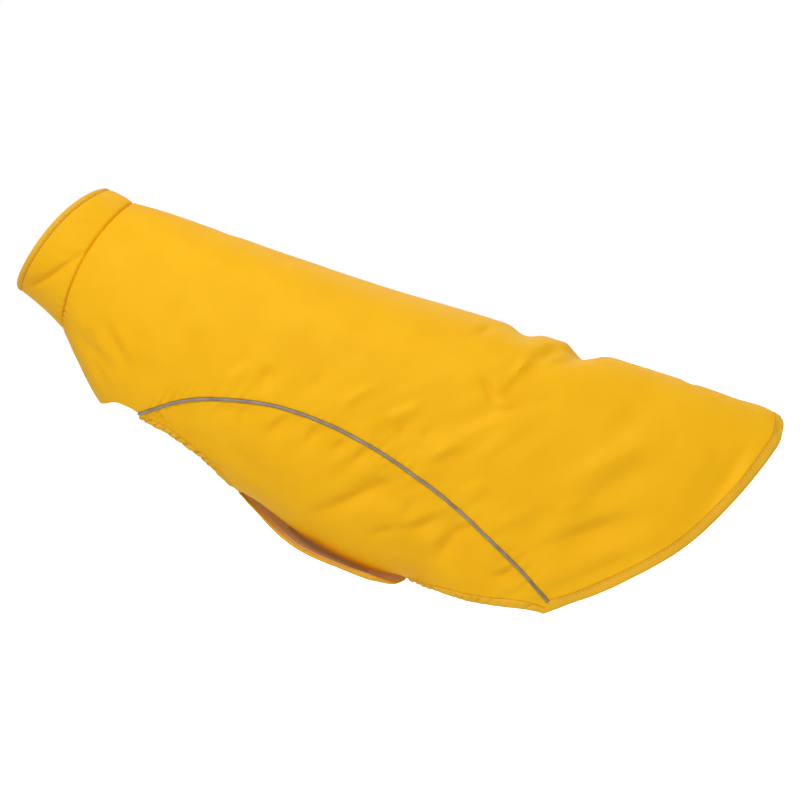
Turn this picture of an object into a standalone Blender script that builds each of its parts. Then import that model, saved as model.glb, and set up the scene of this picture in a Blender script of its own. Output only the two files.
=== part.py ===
"""Dog raincoat, in the hollow shape that it has when it is worn.

Everything is worked out in millimetres in the coat's own frame:
    along   from the collar seam down the middle of the back towards the tail
    across  sideways from the middle plane, negative on the near side (-Y)
    deep    square to the back line, down towards the belly
The cloth itself is laid out on a second, flat frame, as the cutter sees it:
    along   as above
    round   distance round the body from the middle of the back,
            positive on the near side and negative on the far side
Form.cloth() takes a point of the flat frame to the worn shape. The last step turns
the coat by the slope of the back and puts the origin where the dog's back carries it.
"""
import bpy
import numpy as np
from math import cos, pi, radians, sin

MM = 0.001

# ---------------------------------------------------------------- driving sizes (mm)
BACK_LENGTH = 499.0        # collar seam to tail hem, along the middle of the back
BACK_SLOPE = radians(17.9)  # the back falls this much towards the tail
HELD_AT = 230.0            # along: where the wearer's back carries the coat
WALL = 2.0                 # shell cloth with its laminated inside
SEAM_GAP = 0.3             # clearance between two sewn pieces
COLLAR_WALL = 2.6          # the collar is double
RIM_WIDTH = 4.2            # turned edge of the collar
RIM_PROUD = 0.3
PIPING_RADIUS = 1.3
PIPING_LIFT = 0.3          # middle of the piping above the cloth's outside
CASING_WIDTH = 4.8         # elastic casing on the leg and belly edges
CASING_SHARE = 0.45        # of the panel's width, at most
CASING_PROUD = 0.4
CASING_WALL = 2.8
HEM_WIDTH = 6.6            # topstitched rear hem
HEM_PROUD = 0.3
HEM_WALL = 2.6
LINING_WALL = 1.0
LINING_FROM = 3.0          # it starts where the flap's edge is so far past the middle
LINING_UNDER = 6.0         # and reaches so far over the tab's end
PATCH_WALL = 1.0           # each half of the hook and loop closure
PATCH_GAP = 0.5            # between the hook patch and the lining
PATCH_ALONG = (180.0, 252.0)
PATCH_PAST = (-22.0, 14.0)  # of the near panel, past the middle of the belly
COLLAR_STEP = 0.4          # the collar's outside lies under the panel's at the seam
GATHER_HEIGHT = 0.8        # of the waves that the elastic draws up
FLAP_LIFT_COLUMNS = ("along", "lift")   # outside of the flap over that of the near panel
FLAP_LIFT = ((145.0, 7.0), (197.0, 8.6), (228.0, 6.4), (265.0, 6.4))
FLAP_LIFT_PAST = (-66.0, -27.0)   # it comes on before the middle of the belly
FLAP_LIFT_FRONT = (108.0, 142.0)  # along: it comes on
FLAP_LIFT_REAR = (264.0, 306.0)   # and goes off
FLAP_REACH = 43.0          # the far panel's flap, past the middle of the belly
FLAP_RISE_COLUMNS = ("along", "rise")   # the flap's free end over the level of its root
FLAP_RISE = ((160.0, 4.6), (197.0, 4.2), (228.0, 7.8), (245.0, 9.2), (275.0, 8.6))
FLAP_RISE_PAST = (16.0, 50.0)     # the rise comes on so far past the middle of the belly
FLAP_CORNERS = (197.0, 257.0)  # along: front and rear corner of the flap's end
FLAP_EDGE_WALL = 3.6       # the flap's end turns in over its lining
TAB_REACH = 22.0           # the near panel's tab, past the middle of the belly
TAB_CORNERS = (160.0, 267.0)

# ---------------------------------------------------------------- the worn form
# One row for each section square to the back line.
# sag: top of the section below the back line. widest: where the half width lies, as a
# share of the depth. The powers square the section's corners: 2 is an ellipse.
SECTION_COLUMNS = ("along", "sag", "depth", "half_width", "widest", "top_power", "bottom_power")
SECTIONS = (
    (-60.0,  0.0,  62.0, 47.0, 0.50, 2.10, 2.1),
    (-20.0,  0.0, 103.0, 51.0, 0.50, 2.10, 2.1),
    (0.0,    0.0, 126.0, 54.0, 0.49, 2.10, 2.1),
    (20.0,  -0.9, 145.5, 57.0, 0.49, 2.15, 2.2),
    (60.0,  -0.2, 162.0, 64.0, 0.48, 2.20, 2.3),
    (110.0,  1.0, 171.5, 70.0, 0.48, 2.25, 2.4),
    (145.0,  1.6, 177.4, 73.5, 0.48, 2.30, 2.5),
    (194.0,  1.9, 193.6, 76.0, 0.48, 2.30, 2.5),
    (245.0,  0.6, 202.1, 76.0, 0.48, 2.30, 2.5),
    (275.0, -0.3, 200.3, 75.0, 0.48, 2.30, 2.5),
    (300.0,  0.2, 213.6, 74.5, 0.48, 2.30, 2.4),
    (325.0,  0.0, 234.0, 73.5, 0.48, 2.30, 2.4),
    (370.0, -0.4, 262.0, 71.5, 0.48, 2.30, 2.3),
    (430.0, -0.6, 285.0, 68.0, 0.48, 2.30, 2.2),
    (465.0,  0.4, 293.0, 64.5, 0.48, 2.25, 2.2),
    (488.0,  0.3, 298.0, 62.0, 0.48, 2.20, 2.2),
    (BACK_LENGTH, 2.8, 300.0, 61.0, 0.48, 2.20, 2.2),
)

# ---------------------------------------------------------------- the cut
# Neck seam: from the nape it leans towards the head as it goes down to the throat.
NECK_LEAN = 19.5
NECK_DEPTH = 102.0
NECK_POWER = 2.2
CHEST_POINT = 17.8         # along: low end of the centre front

# The edges that hang near the belly, as distance round short of the belly's middle line.
EDGE_COLUMNS = ("along", "short")
CHEST_EDGE = ((17.8, 0.0), (24.5, 23.4), (31.0, 38.0), (37.0, 46.5), (44.0, 50.5),
              (50.0, 48.5), (54.0, 46.5))
LEG_EDGE = ((54.0, 46.5), (63.0, 48.5), (74.0, 51.5), (85.0, 50.5), (96.0, 48.5), (106.0, 46.0),
            (115.0, 40.5), (125.0, 29.0), (135.0, 14.5), (146.0, 0.0))
BELLY_EDGE = ((370.4, 112.0), (350.0, 99.5), (336.0, 88.0), (322.0, 75.0), (308.0, 60.0),
              (296.0, 47.0), (287.0, 36.0), (280.0, 22.0), (276.0, 8.0), (274.5, 0.0))

# Piping seam and rear hem, as points on the side of the worn coat.
PIPING_COLUMNS = ("along", "deep")
PIPING = ((54.0, 140.0), (61.5, 134.2), (69.0, 128.4), (78.0, 122.0), (90.0, 115.5), (118.0, 106.5), (150.0, 101.2),
          (188.0, 102.5), (225.0, 109.6), (267.0, 122.8), (310.0, 141.6), (344.0, 159.1),
          (370.0, 175.0))
HEM_COLUMNS = ("along", "round")
HEM = ((BACK_LENGTH, 0.0), (BACK_LENGTH, 30.0), (489.0, 62.0), (470.0, 104.5), (449.0, 141.0),
       (427.0, 168.6), (405.0, 191.2), (385.5, 207.6), (371.5, 219.0))
HEM_END = ((370.4, 211.1), (370.9, 219.6))  # cut to meet the side panel, inner and outer corner

# ---------------------------------------------------------------- the folds
# Soft troughs (depth > 0) and ridges (depth < 0) from one point of the flat frame to
# another, bowed sideways by bow. share: where along its length a fold is deepest.
FOLD_COLUMNS = ("along_1", "round_1", "along_2", "round_2", "bow", "depth", "half_width", "share")
FOLDS = (
    # the pinch across the back, and what runs from it
    (361.5, -46.0, 336.0, 46.0, -2.0, 8.6, 11.0, 0.50),
    (315.0, -46.0, 303.0, 40.0, 0.0, 4.4, 11.0, 0.50),
    (346.0, 22.0, 296.0, 92.0, 5.0, 3.4, 9.0, 0.30),
    (340.0, -40.0, 326.0, 30.0, 0.0, -1.2, 7.0, 0.50),
    (318.0, 30.0, 286.0, 66.0, -4.0, 2.6, 8.0, 0.70),
    (336.0, 72.0, 262.0, 132.0, 6.0, 2.6, 12.0, 0.40),
    # the near side, tail end
    (418.0, 84.0, 366.0, 158.0, 6.0, 2.8, 13.0, 0.55),
    (410.0, 140.0, 366.0, 180.0, 4.0, 2.2, 11.0, 0.50),
    (462.0, 60.0, 440.0, 118.0, -3.0, 2.4, 10.0, 0.50),
    (352.0, 120.0, 322.0, 168.0, 4.0, -1.6, 14.0, 0.50),
    # the near side, under the piping and over the shoulder
    (196.0, 172.0, 262.0, 198.0, -5.0, 2.6, 12.0, 0.50),
    (120.0, 176.0, 168.0, 206.0, 3.0, 1.8, 10.0, 0.50),
    (60.0, 52.0, 118.0, 118.0, 6.0, 1.4, 16.0, 0.50),
    (30.0, 128.0, 70.0, 146.0, 3.0, 1.5, 10.0, 0.50),
    # the far side has its own
    (352.0, -26.0, 300.0, -84.0, -5.0, 3.2, 9.0, 0.30),
    (326.0, -70.0, 268.0, -128.0, -6.0, 2.4, 12.0, 0.45),
    (430.0, -78.0, 380.0, -150.0, -6.0, 2.8, 13.0, 0.50),
    (470.0, -58.0, 446.0, -112.0, 3.0, 2.2, 10.0, 0.50),
    (404.0, -146.0, 356.0, -176.0, -4.0, 2.0, 11.0, 0.50),
    (190.0, -168.0, 250.0, -200.0, 5.0, 2.4, 12.0, 0.50),
    (64.0, -60.0, 130.0, -112.0, -6.0, 1.6, 16.0, 0.50),
    (28.0, -124.0, 66.0, -148.0, -3.0, 1.5, 10.0, 0.50),
)

# ---------------------------------------------------------------- the collar
# Rings through nape and throat points of the middle plane.
RIM_NAPE = (-24.0, -3.5)   # along, deep
RIM_THROAT = (-61.0, 84.5)
RIM_HALF_WIDTH = 51.0
RIM_POWER = 2.1
RIM_BOW = 4.2              # the ring's sides stand this far in front of its plane
RIM_BOW_SKEW = 0.5         # and more so near the nape
COLLAR_FULLNESS = 1.5      # between seam and rim it swells at the nape and sinks at the throat

# Folds of the collar. share: of the way round from nape to throat; rise: of the way
# from the seam to the rim. half_width is a share too.
COLLAR_FOLD_COLUMNS = ("side", "share_1", "rise_1", "share_2", "rise_2", "depth", "half_width")
COLLAR_FOLDS = (
    (-1, 0.56, 0.12, 0.80, 0.92, 1.8, 0.060),
    (1,  0.48, 0.15, 0.70, 0.90, 1.6, 0.065),
)

# ---------------------------------------------------------------- mesh density
CELLS_FRONT = 5            # down the centre front
CELLS_CHEST = 5            # along the chest edge
CELLS_PIPING = 30          # along the piping
CELLS_ROUND = 15           # from the middle of the back to the lower edge
CELLS_SIDE = 14            # from the piping to the free end
CELLS_LEG = 14             # leg edge, tip to corner
CELLS_END = 5              # end of flap or tab
CELLS_BELLY = 11           # belly edge, corner to tip
CELLS_COLLAR = 4
WAVE_STEPS = 4             # casing cells for each panel cell, to carry the gathers

YELLOW = (0.93, 0.50, 0.02)
YELLOW_EDGE = (0.90, 0.48, 0.05)
GREY = (0.37, 0.33, 0.31)
TAN = (0.52, 0.29, 0.11)
DARK = (0.10, 0.09, 0.08)


# ================================================================ curves
def smooth(xs, ys, x):
    """Read a table at x, on a cubic whose slopes come from the neighbouring rows."""
    xs, ys, x = (np.asarray(item, float) for item in (xs, ys, x))
    step = np.diff(xs)
    rise = np.diff(ys) / step
    slope = np.empty_like(ys)
    slope[0], slope[-1] = rise[0], rise[-1]
    slope[1:-1] = (rise[:-1] * step[1:] + rise[1:] * step[:-1]) / (step[:-1] + step[1:])
    row = np.clip(np.searchsorted(xs, x) - 1, 0, len(xs) - 2)
    share = (x - xs[row]) / step[row]
    t = np.clip(share, 0, 1)
    inside = (ys[row] * (1 + 2 * t) * (1 - t) ** 2 + ys[row + 1] * t * t * (3 - 2 * t)
              + step[row] * (slope[row] * t * (1 - t) ** 2 - slope[row + 1] * t * t * (1 - t)))
    before = np.where(share < 0, slope[row] * step[row] * share, 0)
    after = np.where(share > 1, slope[row + 1] * step[row] * (share - 1), 0)
    return inside + before + after


def ease(x, low, high):
    """0 at low and 1 at high, with level ends."""
    t = np.clip((np.asarray(x, float) - low) / (high - low), 0, 1)
    return t * t * (3 - 2 * t)


def lengths(points):
    """Distance travelled to each point of a polyline."""
    steps = np.linalg.norm(np.diff(points, axis=0), axis=1)
    return np.concatenate([[0], np.cumsum(steps)])


def resample(points, cells):
    """The polyline's points again, evenly spaced."""
    travelled = lengths(points)
    wanted = np.linspace(0, travelled[-1], cells + 1)
    return np.stack([np.interp(wanted, travelled, points[:, k]) for k in range(points.shape[1])], 1)


def through(rows, cells):
    """An evenly spaced smooth curve through a table's rows."""
    rows = np.asarray(rows, float)
    travelled = lengths(rows)
    fine = np.linspace(0, travelled[-1], 400)
    curve = np.stack([smooth(travelled, rows[:, k], fine) for k in range(rows.shape[1])], 1)
    return resample(curve, cells)


def beside(points, distance):
    """A plane polyline moved to its right by the distance, with mitred corners."""
    ahead = np.diff(points, axis=0)
    ahead /= np.linalg.norm(ahead, axis=1)[:, None]
    right = np.stack([ahead[:, 1], -ahead[:, 0]], 1)
    before = np.vstack([right[:1], right])
    after = np.vstack([right, right[-1:]])
    middle = before + after
    middle /= np.linalg.norm(middle, axis=1)[:, None]
    stretch = 1 / np.clip((middle * before).sum(1), 0.5, 1)
    return points + middle * (distance * stretch)[:, None]


def coons(top, bottom, left, right):
    """A grid filled in between four edge polylines that meet at their ends."""
    along = lengths(bottom)
    s = (along / along[-1])[:, None, None]
    down = lengths(left)
    t = (down / down[-1])[None, :, None]
    corners = ((1 - s) * (1 - t) * top[0] + s * (1 - t) * top[-1]
               + (1 - s) * t * bottom[0] + s * t * bottom[-1])
    return ((1 - t) * top[:, None] + t * bottom[:, None]
            + (1 - s) * left[None] + s * right[None] - corners)


# ================================================================ the form
class Form:
    """The worn shape of the cloth's outside."""

    quarter = np.linspace(0, pi / 2, 61)
    table = dict(zip(SECTION_COLUMNS, np.array(SECTIONS).T))

    @classmethod
    def at(cls, name, along):
        return smooth(cls.table["along"], cls.table[name], along)

    @classmethod
    def outline(cls, along):
        """Half sections: across (outwards), deep, and the distance round to each point."""
        along = np.asarray(along, float).ravel()
        sag, depth, width, widest, top, bottom = (
            cls.at(name, along)[:, None] for name in SECTION_COLUMNS[1:])
        s, c = np.sin(cls.quarter)[None], np.cos(cls.quarter)[None]
        upper = depth * widest - sag
        lower = depth * (1 - widest)
        across = np.hstack([width * s ** (2 / top), (width * c ** (2 / bottom))[:, 1:]])
        deep = np.hstack([sag + upper * (1 - c ** (2 / top)),
                          (sag + upper + lower * s ** (2 / bottom))[:, 1:]])
        across[:, -1] = 0
        steps = np.hypot(np.diff(across, axis=1), np.diff(deep, axis=1))
        travelled = np.hstack([np.zeros((len(along), 1)), np.cumsum(steps, axis=1)])
        return across, deep, travelled

    @staticmethod
    def read(x, xs, ys):
        """Straight-line reading of row i of the tables at x[i]."""
        row = np.arange(len(x))
        k = np.clip((xs <= x[:, None]).sum(1) - 1, 0, xs.shape[1] - 2)
        t = (x - xs[row, k]) / (xs[row, k + 1] - xs[row, k])
        return ys[row, k] + t * (ys[row, k + 1] - ys[row, k])

    @classmethod
    def half_girth(cls, along):
        """Distance round from the middle of the back to the middle of the belly."""
        along = np.asarray(along, float)
        return cls.outline(along)[2][:, -1].reshape(along.shape)

    @classmethod
    def round_at(cls, along, deep):
        """Distance round to where the section is so deep."""
        _, levels, travelled = cls.outline(along)
        return cls.read(np.minimum(deep, levels[:, -1] - 1e-6), levels, travelled)

    @classmethod
    def plain(cls, along, round_):
        """The form without folds. The far cloth runs on level past the belly's middle,
        as the flap, and the near cloth runs up the far side, as the tab."""
        across, deep, travelled = cls.outline(along)
        girth = travelled[:, -1]
        near = round_ >= 0
        past = np.abs(round_) - girth
        reach = np.where(past > 0, girth - past, np.abs(round_))
        out = cls.read(np.clip(reach, 0, girth - 1e-9), travelled, across)
        down = cls.read(np.clip(reach, 0, girth - 1e-9), travelled, deep)
        out = np.where(past > 0, -out, out)
        flap = (past > 0) & ~near
        out = np.where(flap, -past, out)
        rise = smooth(*zip(*FLAP_RISE), along)
        down = np.where(flap, deep[:, -1] - rise * ease(past, *FLAP_RISE_PAST), down)
        return np.stack([along, np.where(near, -out, out), down], 1)

    @classmethod
    def lift(cls, along, round_):
        """How far the far panel stands off the form to pass outside the near one's tab."""
        past = np.abs(round_) - cls.half_girth(along)
        window = ease(along, *FLAP_LIFT_FRONT) * (1 - ease(along, *FLAP_LIFT_REAR))
        lift = smooth(*zip(*FLAP_LIFT), along) * window
        return np.where(round_ < 0, lift * ease(past, *FLAP_LIFT_PAST), 0)

    @staticmethod
    def folds(along, round_):
        """How far the folds push the cloth in."""
        push = np.zeros_like(along)
        here = np.stack([along, round_], 1)
        for row in FOLDS:
            fold = dict(zip(FOLD_COLUMNS, row))
            start = np.array([fold["along_1"], fold["round_1"]])
            line = np.array([fold["along_2"], fold["round_2"]]) - start
            length = np.linalg.norm(line)
            line /= length
            t = (here - start) @ line / length
            side = (here - start) @ np.array([-line[1], line[0]])
            side = side - fold["bow"] * 4 * t * (1 - t)
            x = side / fold["half_width"]
            swell = ease(t, -0.1, fold["share"]) * (1 - ease(t, fold["share"], 1.1))
            push += fold["depth"] * swell * np.exp(-x * x) * (1 - 0.35 * x * x)
        return push

    @classmethod
    def sheet(cls, along, round_):
        step = 0.5
        here = cls.plain(along, round_)
        fore = cls.plain(along + step, round_) - cls.plain(along - step, round_)
        side = cls.plain(along, round_ + step) - cls.plain(along, round_ - step)
        out = np.cross(fore, side)
        out /= np.linalg.norm(out, axis=1)[:, None]
        return here + out * (cls.lift(along, round_) - cls.folds(along, round_))[:, None]

    @classmethod
    def cloth(cls, flat, offset=0.0):
        """Worn position of flat points, moved outwards by the offset."""
        shape = flat.shape[:-1]
        along, round_ = flat.reshape(-1, 2).T
        here = cls.sheet(along, round_)
        step = 1.0
        fore = cls.sheet(along + step, round_) - cls.sheet(along - step, round_)
        side = cls.sheet(along, round_ + step) - cls.sheet(along, round_ - step)
        out = np.cross(fore, side)
        out /= np.linalg.norm(out, axis=1)[:, None]
        offset = np.broadcast_to(np.asarray(offset, float), shape).reshape(-1, 1)
        return (here + out * offset).reshape(*shape, 3)


# ================================================================ meshes
def to_world(points):
    """Coat frame in mm to the part's frame in metres."""
    seat = float(Form.at("sag", HELD_AT)) + WALL
    along = points[..., 0] - HELD_AT
    deep = points[..., 2] - seat
    return MM * np.stack([along * cos(BACK_SLOPE) - deep * sin(BACK_SLOPE), points[..., 1],
                          -along * sin(BACK_SLOPE) - deep * cos(BACK_SLOPE)], -1)


def add_object(name, points, faces, colour, roughness):
    mesh = bpy.data.meshes.new(name)
    mesh.from_pydata(to_world(points).tolist(), [], faces)
    finish = bpy.data.materials.new(name + "_finish")
    finish.use_nodes = True
    shader = finish.node_tree.nodes["Principled BSDF"]
    shader.inputs["Base Color"].default_value = (*colour, 1)
    shader.inputs["Roughness"].default_value = roughness
    shader.inputs["Metallic"].default_value = 0
    mesh.materials.append(finish)
    mesh.shade_smooth()
    mesh.set_sharp_from_angle(angle=radians(40))
    piece = bpy.data.objects.new(name, mesh)
    bpy.context.collection.objects.link(piece)
    return piece


def add_wall(name, outside, inside, colour, roughness=0.55, closed=False):
    """A closed solid between two grids of the same shape. A closed one is a ring whose
    rows (the first index) run round and meet."""
    rows, columns = outside.shape[:2]
    under = rows * columns

    def corner(i, j):
        return (i % rows) * columns + j

    faces = []
    spans = rows if closed else rows - 1
    for i in range(spans):
        for j in range(columns - 1):
            a, b, c, d = (corner(i, j), corner(i, j + 1), corner(i + 1, j + 1), corner(i + 1, j))
            # the same diagonal on both faces keeps the wall even where a cell is twisted
            for triangle in ((a, b, c), (a, c, d)):
                faces.append(list(triangle))
                faces.append([under + k for k in reversed(triangle)])
    for i in range(spans):
        a, b = corner(i, 0), corner(i + 1, 0)
        faces.append([a, b, under + b, under + a])
        a, b = corner(i + 1, columns - 1), corner(i, columns - 1)
        faces.append([a, b, under + b, under + a])
    if not closed:
        for j in range(columns - 1):
            a, b = corner(0, j + 1), corner(0, j)
            faces.append([a, b, under + b, under + a])
            a, b = corner(rows - 1, j), corner(rows - 1, j + 1)
            faces.append([a, b, under + b, under + a])
    points = np.vstack([outside.reshape(-1, 3), inside.reshape(-1, 3)])
    piece = add_object(name, points, faces, colour, roughness)
    face_outwards(piece)
    return piece


def face_outwards(piece):
    """Turn all faces round if they enclose a negative volume."""
    mesh = piece.data
    points = np.array([v.co for v in mesh.vertices])
    volume = 0.0
    for face in mesh.polygons:
        ring = points[list(face.vertices)]
        for k in range(1, len(ring) - 1):
            volume += np.dot(ring[0], np.cross(ring[k], ring[k + 1]))
    if volume < 0:
        mesh.flip_normals()


def add_cloth(name, flat, proud, wall, colour, roughness=0.55, sign=1):
    """A wall of cloth over a grid of flat points. sign is -1 for the far side, whose
    points are the near side's mirrored."""
    flat = flat * np.array([1, sign])
    return add_wall(name, Form.cloth(flat, proud), Form.cloth(flat, np.asarray(proud) - wall),
                    colour, roughness)


def add_tube(name, centres, ups, radius, colour, roughness, sides=6):
    """A round strand along the centres, capped at both ends."""
    ahead = np.gradient(centres, axis=0)
    ahead /= np.linalg.norm(ahead, axis=1)[:, None]
    right = np.cross(ahead, ups)
    right /= np.linalg.norm(right, axis=1)[:, None]
    ups = np.cross(right, ahead)
    turn = np.arange(sides) * 2 * pi / sides
    rings = (centres[:, None] + radius * (np.cos(turn)[None, :, None] * right[:, None]
                                          + np.sin(turn)[None, :, None] * ups[:, None]))
    faces = []
    for i in range(len(centres) - 1):
        for k in range(sides):
            after = (k + 1) % sides
            faces.append([i * sides + k, i * sides + after,
                          (i + 1) * sides + after, (i + 1) * sides + k])
    faces.append(list(range(sides))[::-1])
    faces.append([(len(centres) - 1) * sides + k for k in range(sides)])
    piece = add_object(name, rings.reshape(-1, 3), faces, colour, roughness)
    face_outwards(piece)
    return piece


# ================================================================ the cut, laid flat
def short_rows(rows):
    """Rows of along and short, as points of the flat frame on the near side."""
    rows = np.asarray(rows)
    return np.stack([rows[:, 0], Form.half_girth(rows[:, 0]) - rows[:, 1]], 1)


def side_rows(rows):
    """Rows of along and deep, as points of the flat frame on the near side."""
    rows = np.array(rows)
    return np.stack([rows[:, 0], Form.round_at(rows[:, 0], rows[:, 1])], 1)


def neck_seam(cells):
    deep = np.linspace(0, NECK_DEPTH, 200)
    along = -NECK_LEAN * (1 - (1 - deep / NECK_DEPTH) ** NECK_POWER)
    line = np.stack([along, Form.round_at(along, deep)], 1)
    line[0] = 0, 0
    line[-1, 1] = Form.half_girth(along[-1:])[0]
    return resample(line, cells)


def lower_path(reach, front_corner, rear_corner):
    """Leg edge, free end and belly edge of a side panel, and where the corners come."""
    front, rear = (front_corner, -reach), (rear_corner, -reach)
    leg = through(short_rows(LEG_EDGE + (front,)), CELLS_LEG)
    end = short_rows(np.linspace(front, rear, CELLS_END + 1))
    belly = through(short_rows((rear,) + BELLY_EDGE[::-1]), CELLS_BELLY)
    return np.vstack([leg, end[1:-1], belly])


def casing_widths(seam, path):
    """The casings narrow where the panel runs out to a point."""
    room = np.linalg.norm(seam - path, axis=1)
    return np.minimum(CASING_WIDTH, CASING_SHARE * room)


def between(first, last, cells):
    """Straight rows of points from each point of one line to its partner on another."""
    share = np.linspace(0, 1, cells + 1)[None, :, None]
    return first[:, None] * (1 - share) + last[:, None] * share


def finer(line, steps):
    """A row of points, or of rows of points, with each stretch cut into equal steps."""
    whole = np.arange(len(line))
    wanted = np.linspace(0, len(line) - 1, (len(line) - 1) * steps + 1)
    columns = line.reshape(len(line), -1).T
    cut = np.stack([np.interp(wanted, whole, column) for column in columns], 1)
    return cut.reshape(-1, *line.shape[1:])


def gathers(count):
    """The waves that the elastic draws up: up, level, down, level, of uneven height."""
    k = np.arange(count)
    height = 0.65 + 0.35 * np.sin(0.9 * k + 0.6)
    ends = np.minimum(1, np.minimum(k, count - 1 - k) / 6)
    return height * ends * np.sin(k * pi / 2)


# The seam that the piping marks, and the room that the piping takes between the panels.
PIPING_ROOM = PIPING_RADIUS + SEAM_GAP
SEAM = through(side_rows(PIPING), CELLS_PIPING)
HEM_LINE = through(HEM, CELLS_ROUND)
HEM_INNER = beside(HEM_LINE, -(HEM_WIDTH + SEAM_GAP))


# ================================================================ the pieces
def make_back_panel():
    """Cut on the fold along the back, from neck to tail, closed down the centre front."""
    above_seam = beside(SEAM, PIPING_ROOM)
    front_along = np.linspace(-NECK_LEAN, CHEST_POINT, CELLS_FRONT + 1)
    front = np.stack([front_along, Form.half_girth(front_along)], 1)
    chest = through(short_rows(CHEST_EDGE), CELLS_CHEST)
    chest[-1] = above_seam[0]
    bottom = np.vstack([front, chest[1:], above_seam[1:]])
    right = np.vstack([HEM_INNER[:-1], above_seam[-1:]])
    share = lengths(bottom) / lengths(bottom)[-1]
    top = np.stack([share * right[0, 0], 0 * share], 1)
    near = coons(top, bottom, neck_seam(CELLS_ROUND), right)
    outside, inside = Form.cloth(near), Form.cloth(near, -WALL)
    far = near * np.array([1, -1])
    far_outside, far_inside = Form.cloth(far), Form.cloth(far, -WALL)
    for grid, side in ((outside, -1), (inside, -1), (far_outside, 1), (far_inside, 1)):
        grid[:CELLS_FRONT + 1, -1, 1] = side * SEAM_GAP / 2
    grids = [np.concatenate([b[:, :0:-1], a], axis=1)
             for a, b in ((outside, far_outside), (inside, far_inside))]
    add_wall("back_panel", *grids, YELLOW)


def make_side(side, sign, reach, front_corner, rear_corner, end_wall):
    """A side panel from the piping down round the belly, with its casings and end."""
    below_seam = beside(SEAM, -PIPING_ROOM)
    path = lower_path(reach, front_corner, rear_corner)
    widths = casing_widths(below_seam, path)
    inner = beside(path, widths)
    edge = beside(path, widths + SEAM_GAP)
    ends = [between(below_seam[[k]], edge[[k]], CELLS_SIDE)[0] for k in (0, -1)]
    panel = coons(below_seam, edge, *ends)
    add_cloth("side_panel_" + side, panel, 0, WALL, YELLOW, sign=sign)
    stretches = (("leg_casing_", 0, CELLS_LEG, CASING_WALL),
                 ("strap_end_", CELLS_LEG, CELLS_LEG + CELLS_END, end_wall),
                 ("belly_casing_", CELLS_LEG + CELLS_END, CELLS_PIPING, CASING_WALL))
    for name, first, last, wall in stretches:
        strip = np.stack([inner[first:last + 1], path[first:last + 1]], 1)
        trim_ends(strip)
        strip = strip * np.array([1, sign])
        cloth = Form.cloth(strip)
        up = finer(Form.cloth(strip, 1) - cloth, WAVE_STEPS)
        height = 0 if "strap" in name else GATHER_HEIGHT
        waves = height * gathers(len(up))[:, None, None] * np.array([0, 1])[:, None]
        outside = finer(cloth, WAVE_STEPS) + up * (CASING_PROUD + waves)
        add_wall(name + side, outside, outside - up * wall, YELLOW_EDGE)
    return panel


def trim_ends(strip):
    """Draw in both ends of a strip by half a seam gap."""
    for end, inner in ((0, 1), (-1, -2)):
        step = strip[inner] - strip[end]
        strip[end] += step / np.linalg.norm(step, axis=1)[:, None] * SEAM_GAP / 2


def make_piping(side, sign):
    """The reflective strand in the seam, from the leg edge to the rear hem."""
    line = SEAM * np.array([1, sign])
    centres = Form.cloth(line, PIPING_LIFT)
    ups = Form.cloth(line, PIPING_LIFT + 1) - centres
    add_tube("piping_" + side, centres, ups, PIPING_RADIUS, GREY, 0.35)


def make_rear_hem():
    """One topstitched strip from piping to piping, round the tail."""
    inner = beside(HEM_LINE, -HEM_WIDTH)
    near = np.stack([inner, beside(HEM_LINE, -HEM_WIDTH / 2), HEM_LINE], 1)
    near[-1] = np.linspace(*HEM_END, 3)
    far = (near * np.array([1, -1]))[:0:-1]
    add_cloth("rear_hem", np.concatenate([far, near]), HEM_PROUD, HEM_WALL, YELLOW_EDGE)


def make_collar():
    """A standing band between the neck seam and its turned rim."""
    seam = neck_seam(CELLS_ROUND)
    round_ = np.concatenate([seam, (seam * np.array([1, -1]))[-2:0:-1]])
    share = np.linspace(0, 1, CELLS_ROUND + 1)
    shares = np.concatenate([share, share[-2:0:-1]])
    sides = np.concatenate([-np.ones(CELLS_ROUND + 1), np.ones(CELLS_ROUND - 1)])
    base = Form.cloth(round_, -COLLAR_STEP)
    rim = rim_ring(shares, sides)
    middle = base.mean(axis=0)
    height = np.linalg.norm(rim - base, axis=1)

    def band(start, end, cells):
        """Rows round the band, between two distances up from the seam."""
        t = np.linspace(start / height, end / height, cells + 1, axis=1)
        ring = base[:, None] + t[..., None] * (rim - base)[:, None]
        centre = middle + t[..., None] * (rim.mean(axis=0) - middle)
        out = ring - centre
        out /= np.linalg.norm(out, axis=2)[..., None]
        full = COLLAR_FULLNESS * (1 - 2 * shares[:, None])
        swell = full * 4 * t * (1 - t) - collar_folds(shares, sides, t)
        return ring + out * swell[..., None], out

    fold_line = height - RIM_WIDTH
    outside, out = band(np.full(len(base), SEAM_GAP), fold_line - SEAM_GAP, CELLS_COLLAR)
    add_wall("collar", outside, outside - COLLAR_WALL * out, YELLOW, closed=True)
    outside, out = band(fold_line, height, 1)
    add_wall("collar_rim", outside + RIM_PROUD * out,
             outside - (COLLAR_WALL + RIM_PROUD) * out, YELLOW_EDGE, closed=True)


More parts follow.
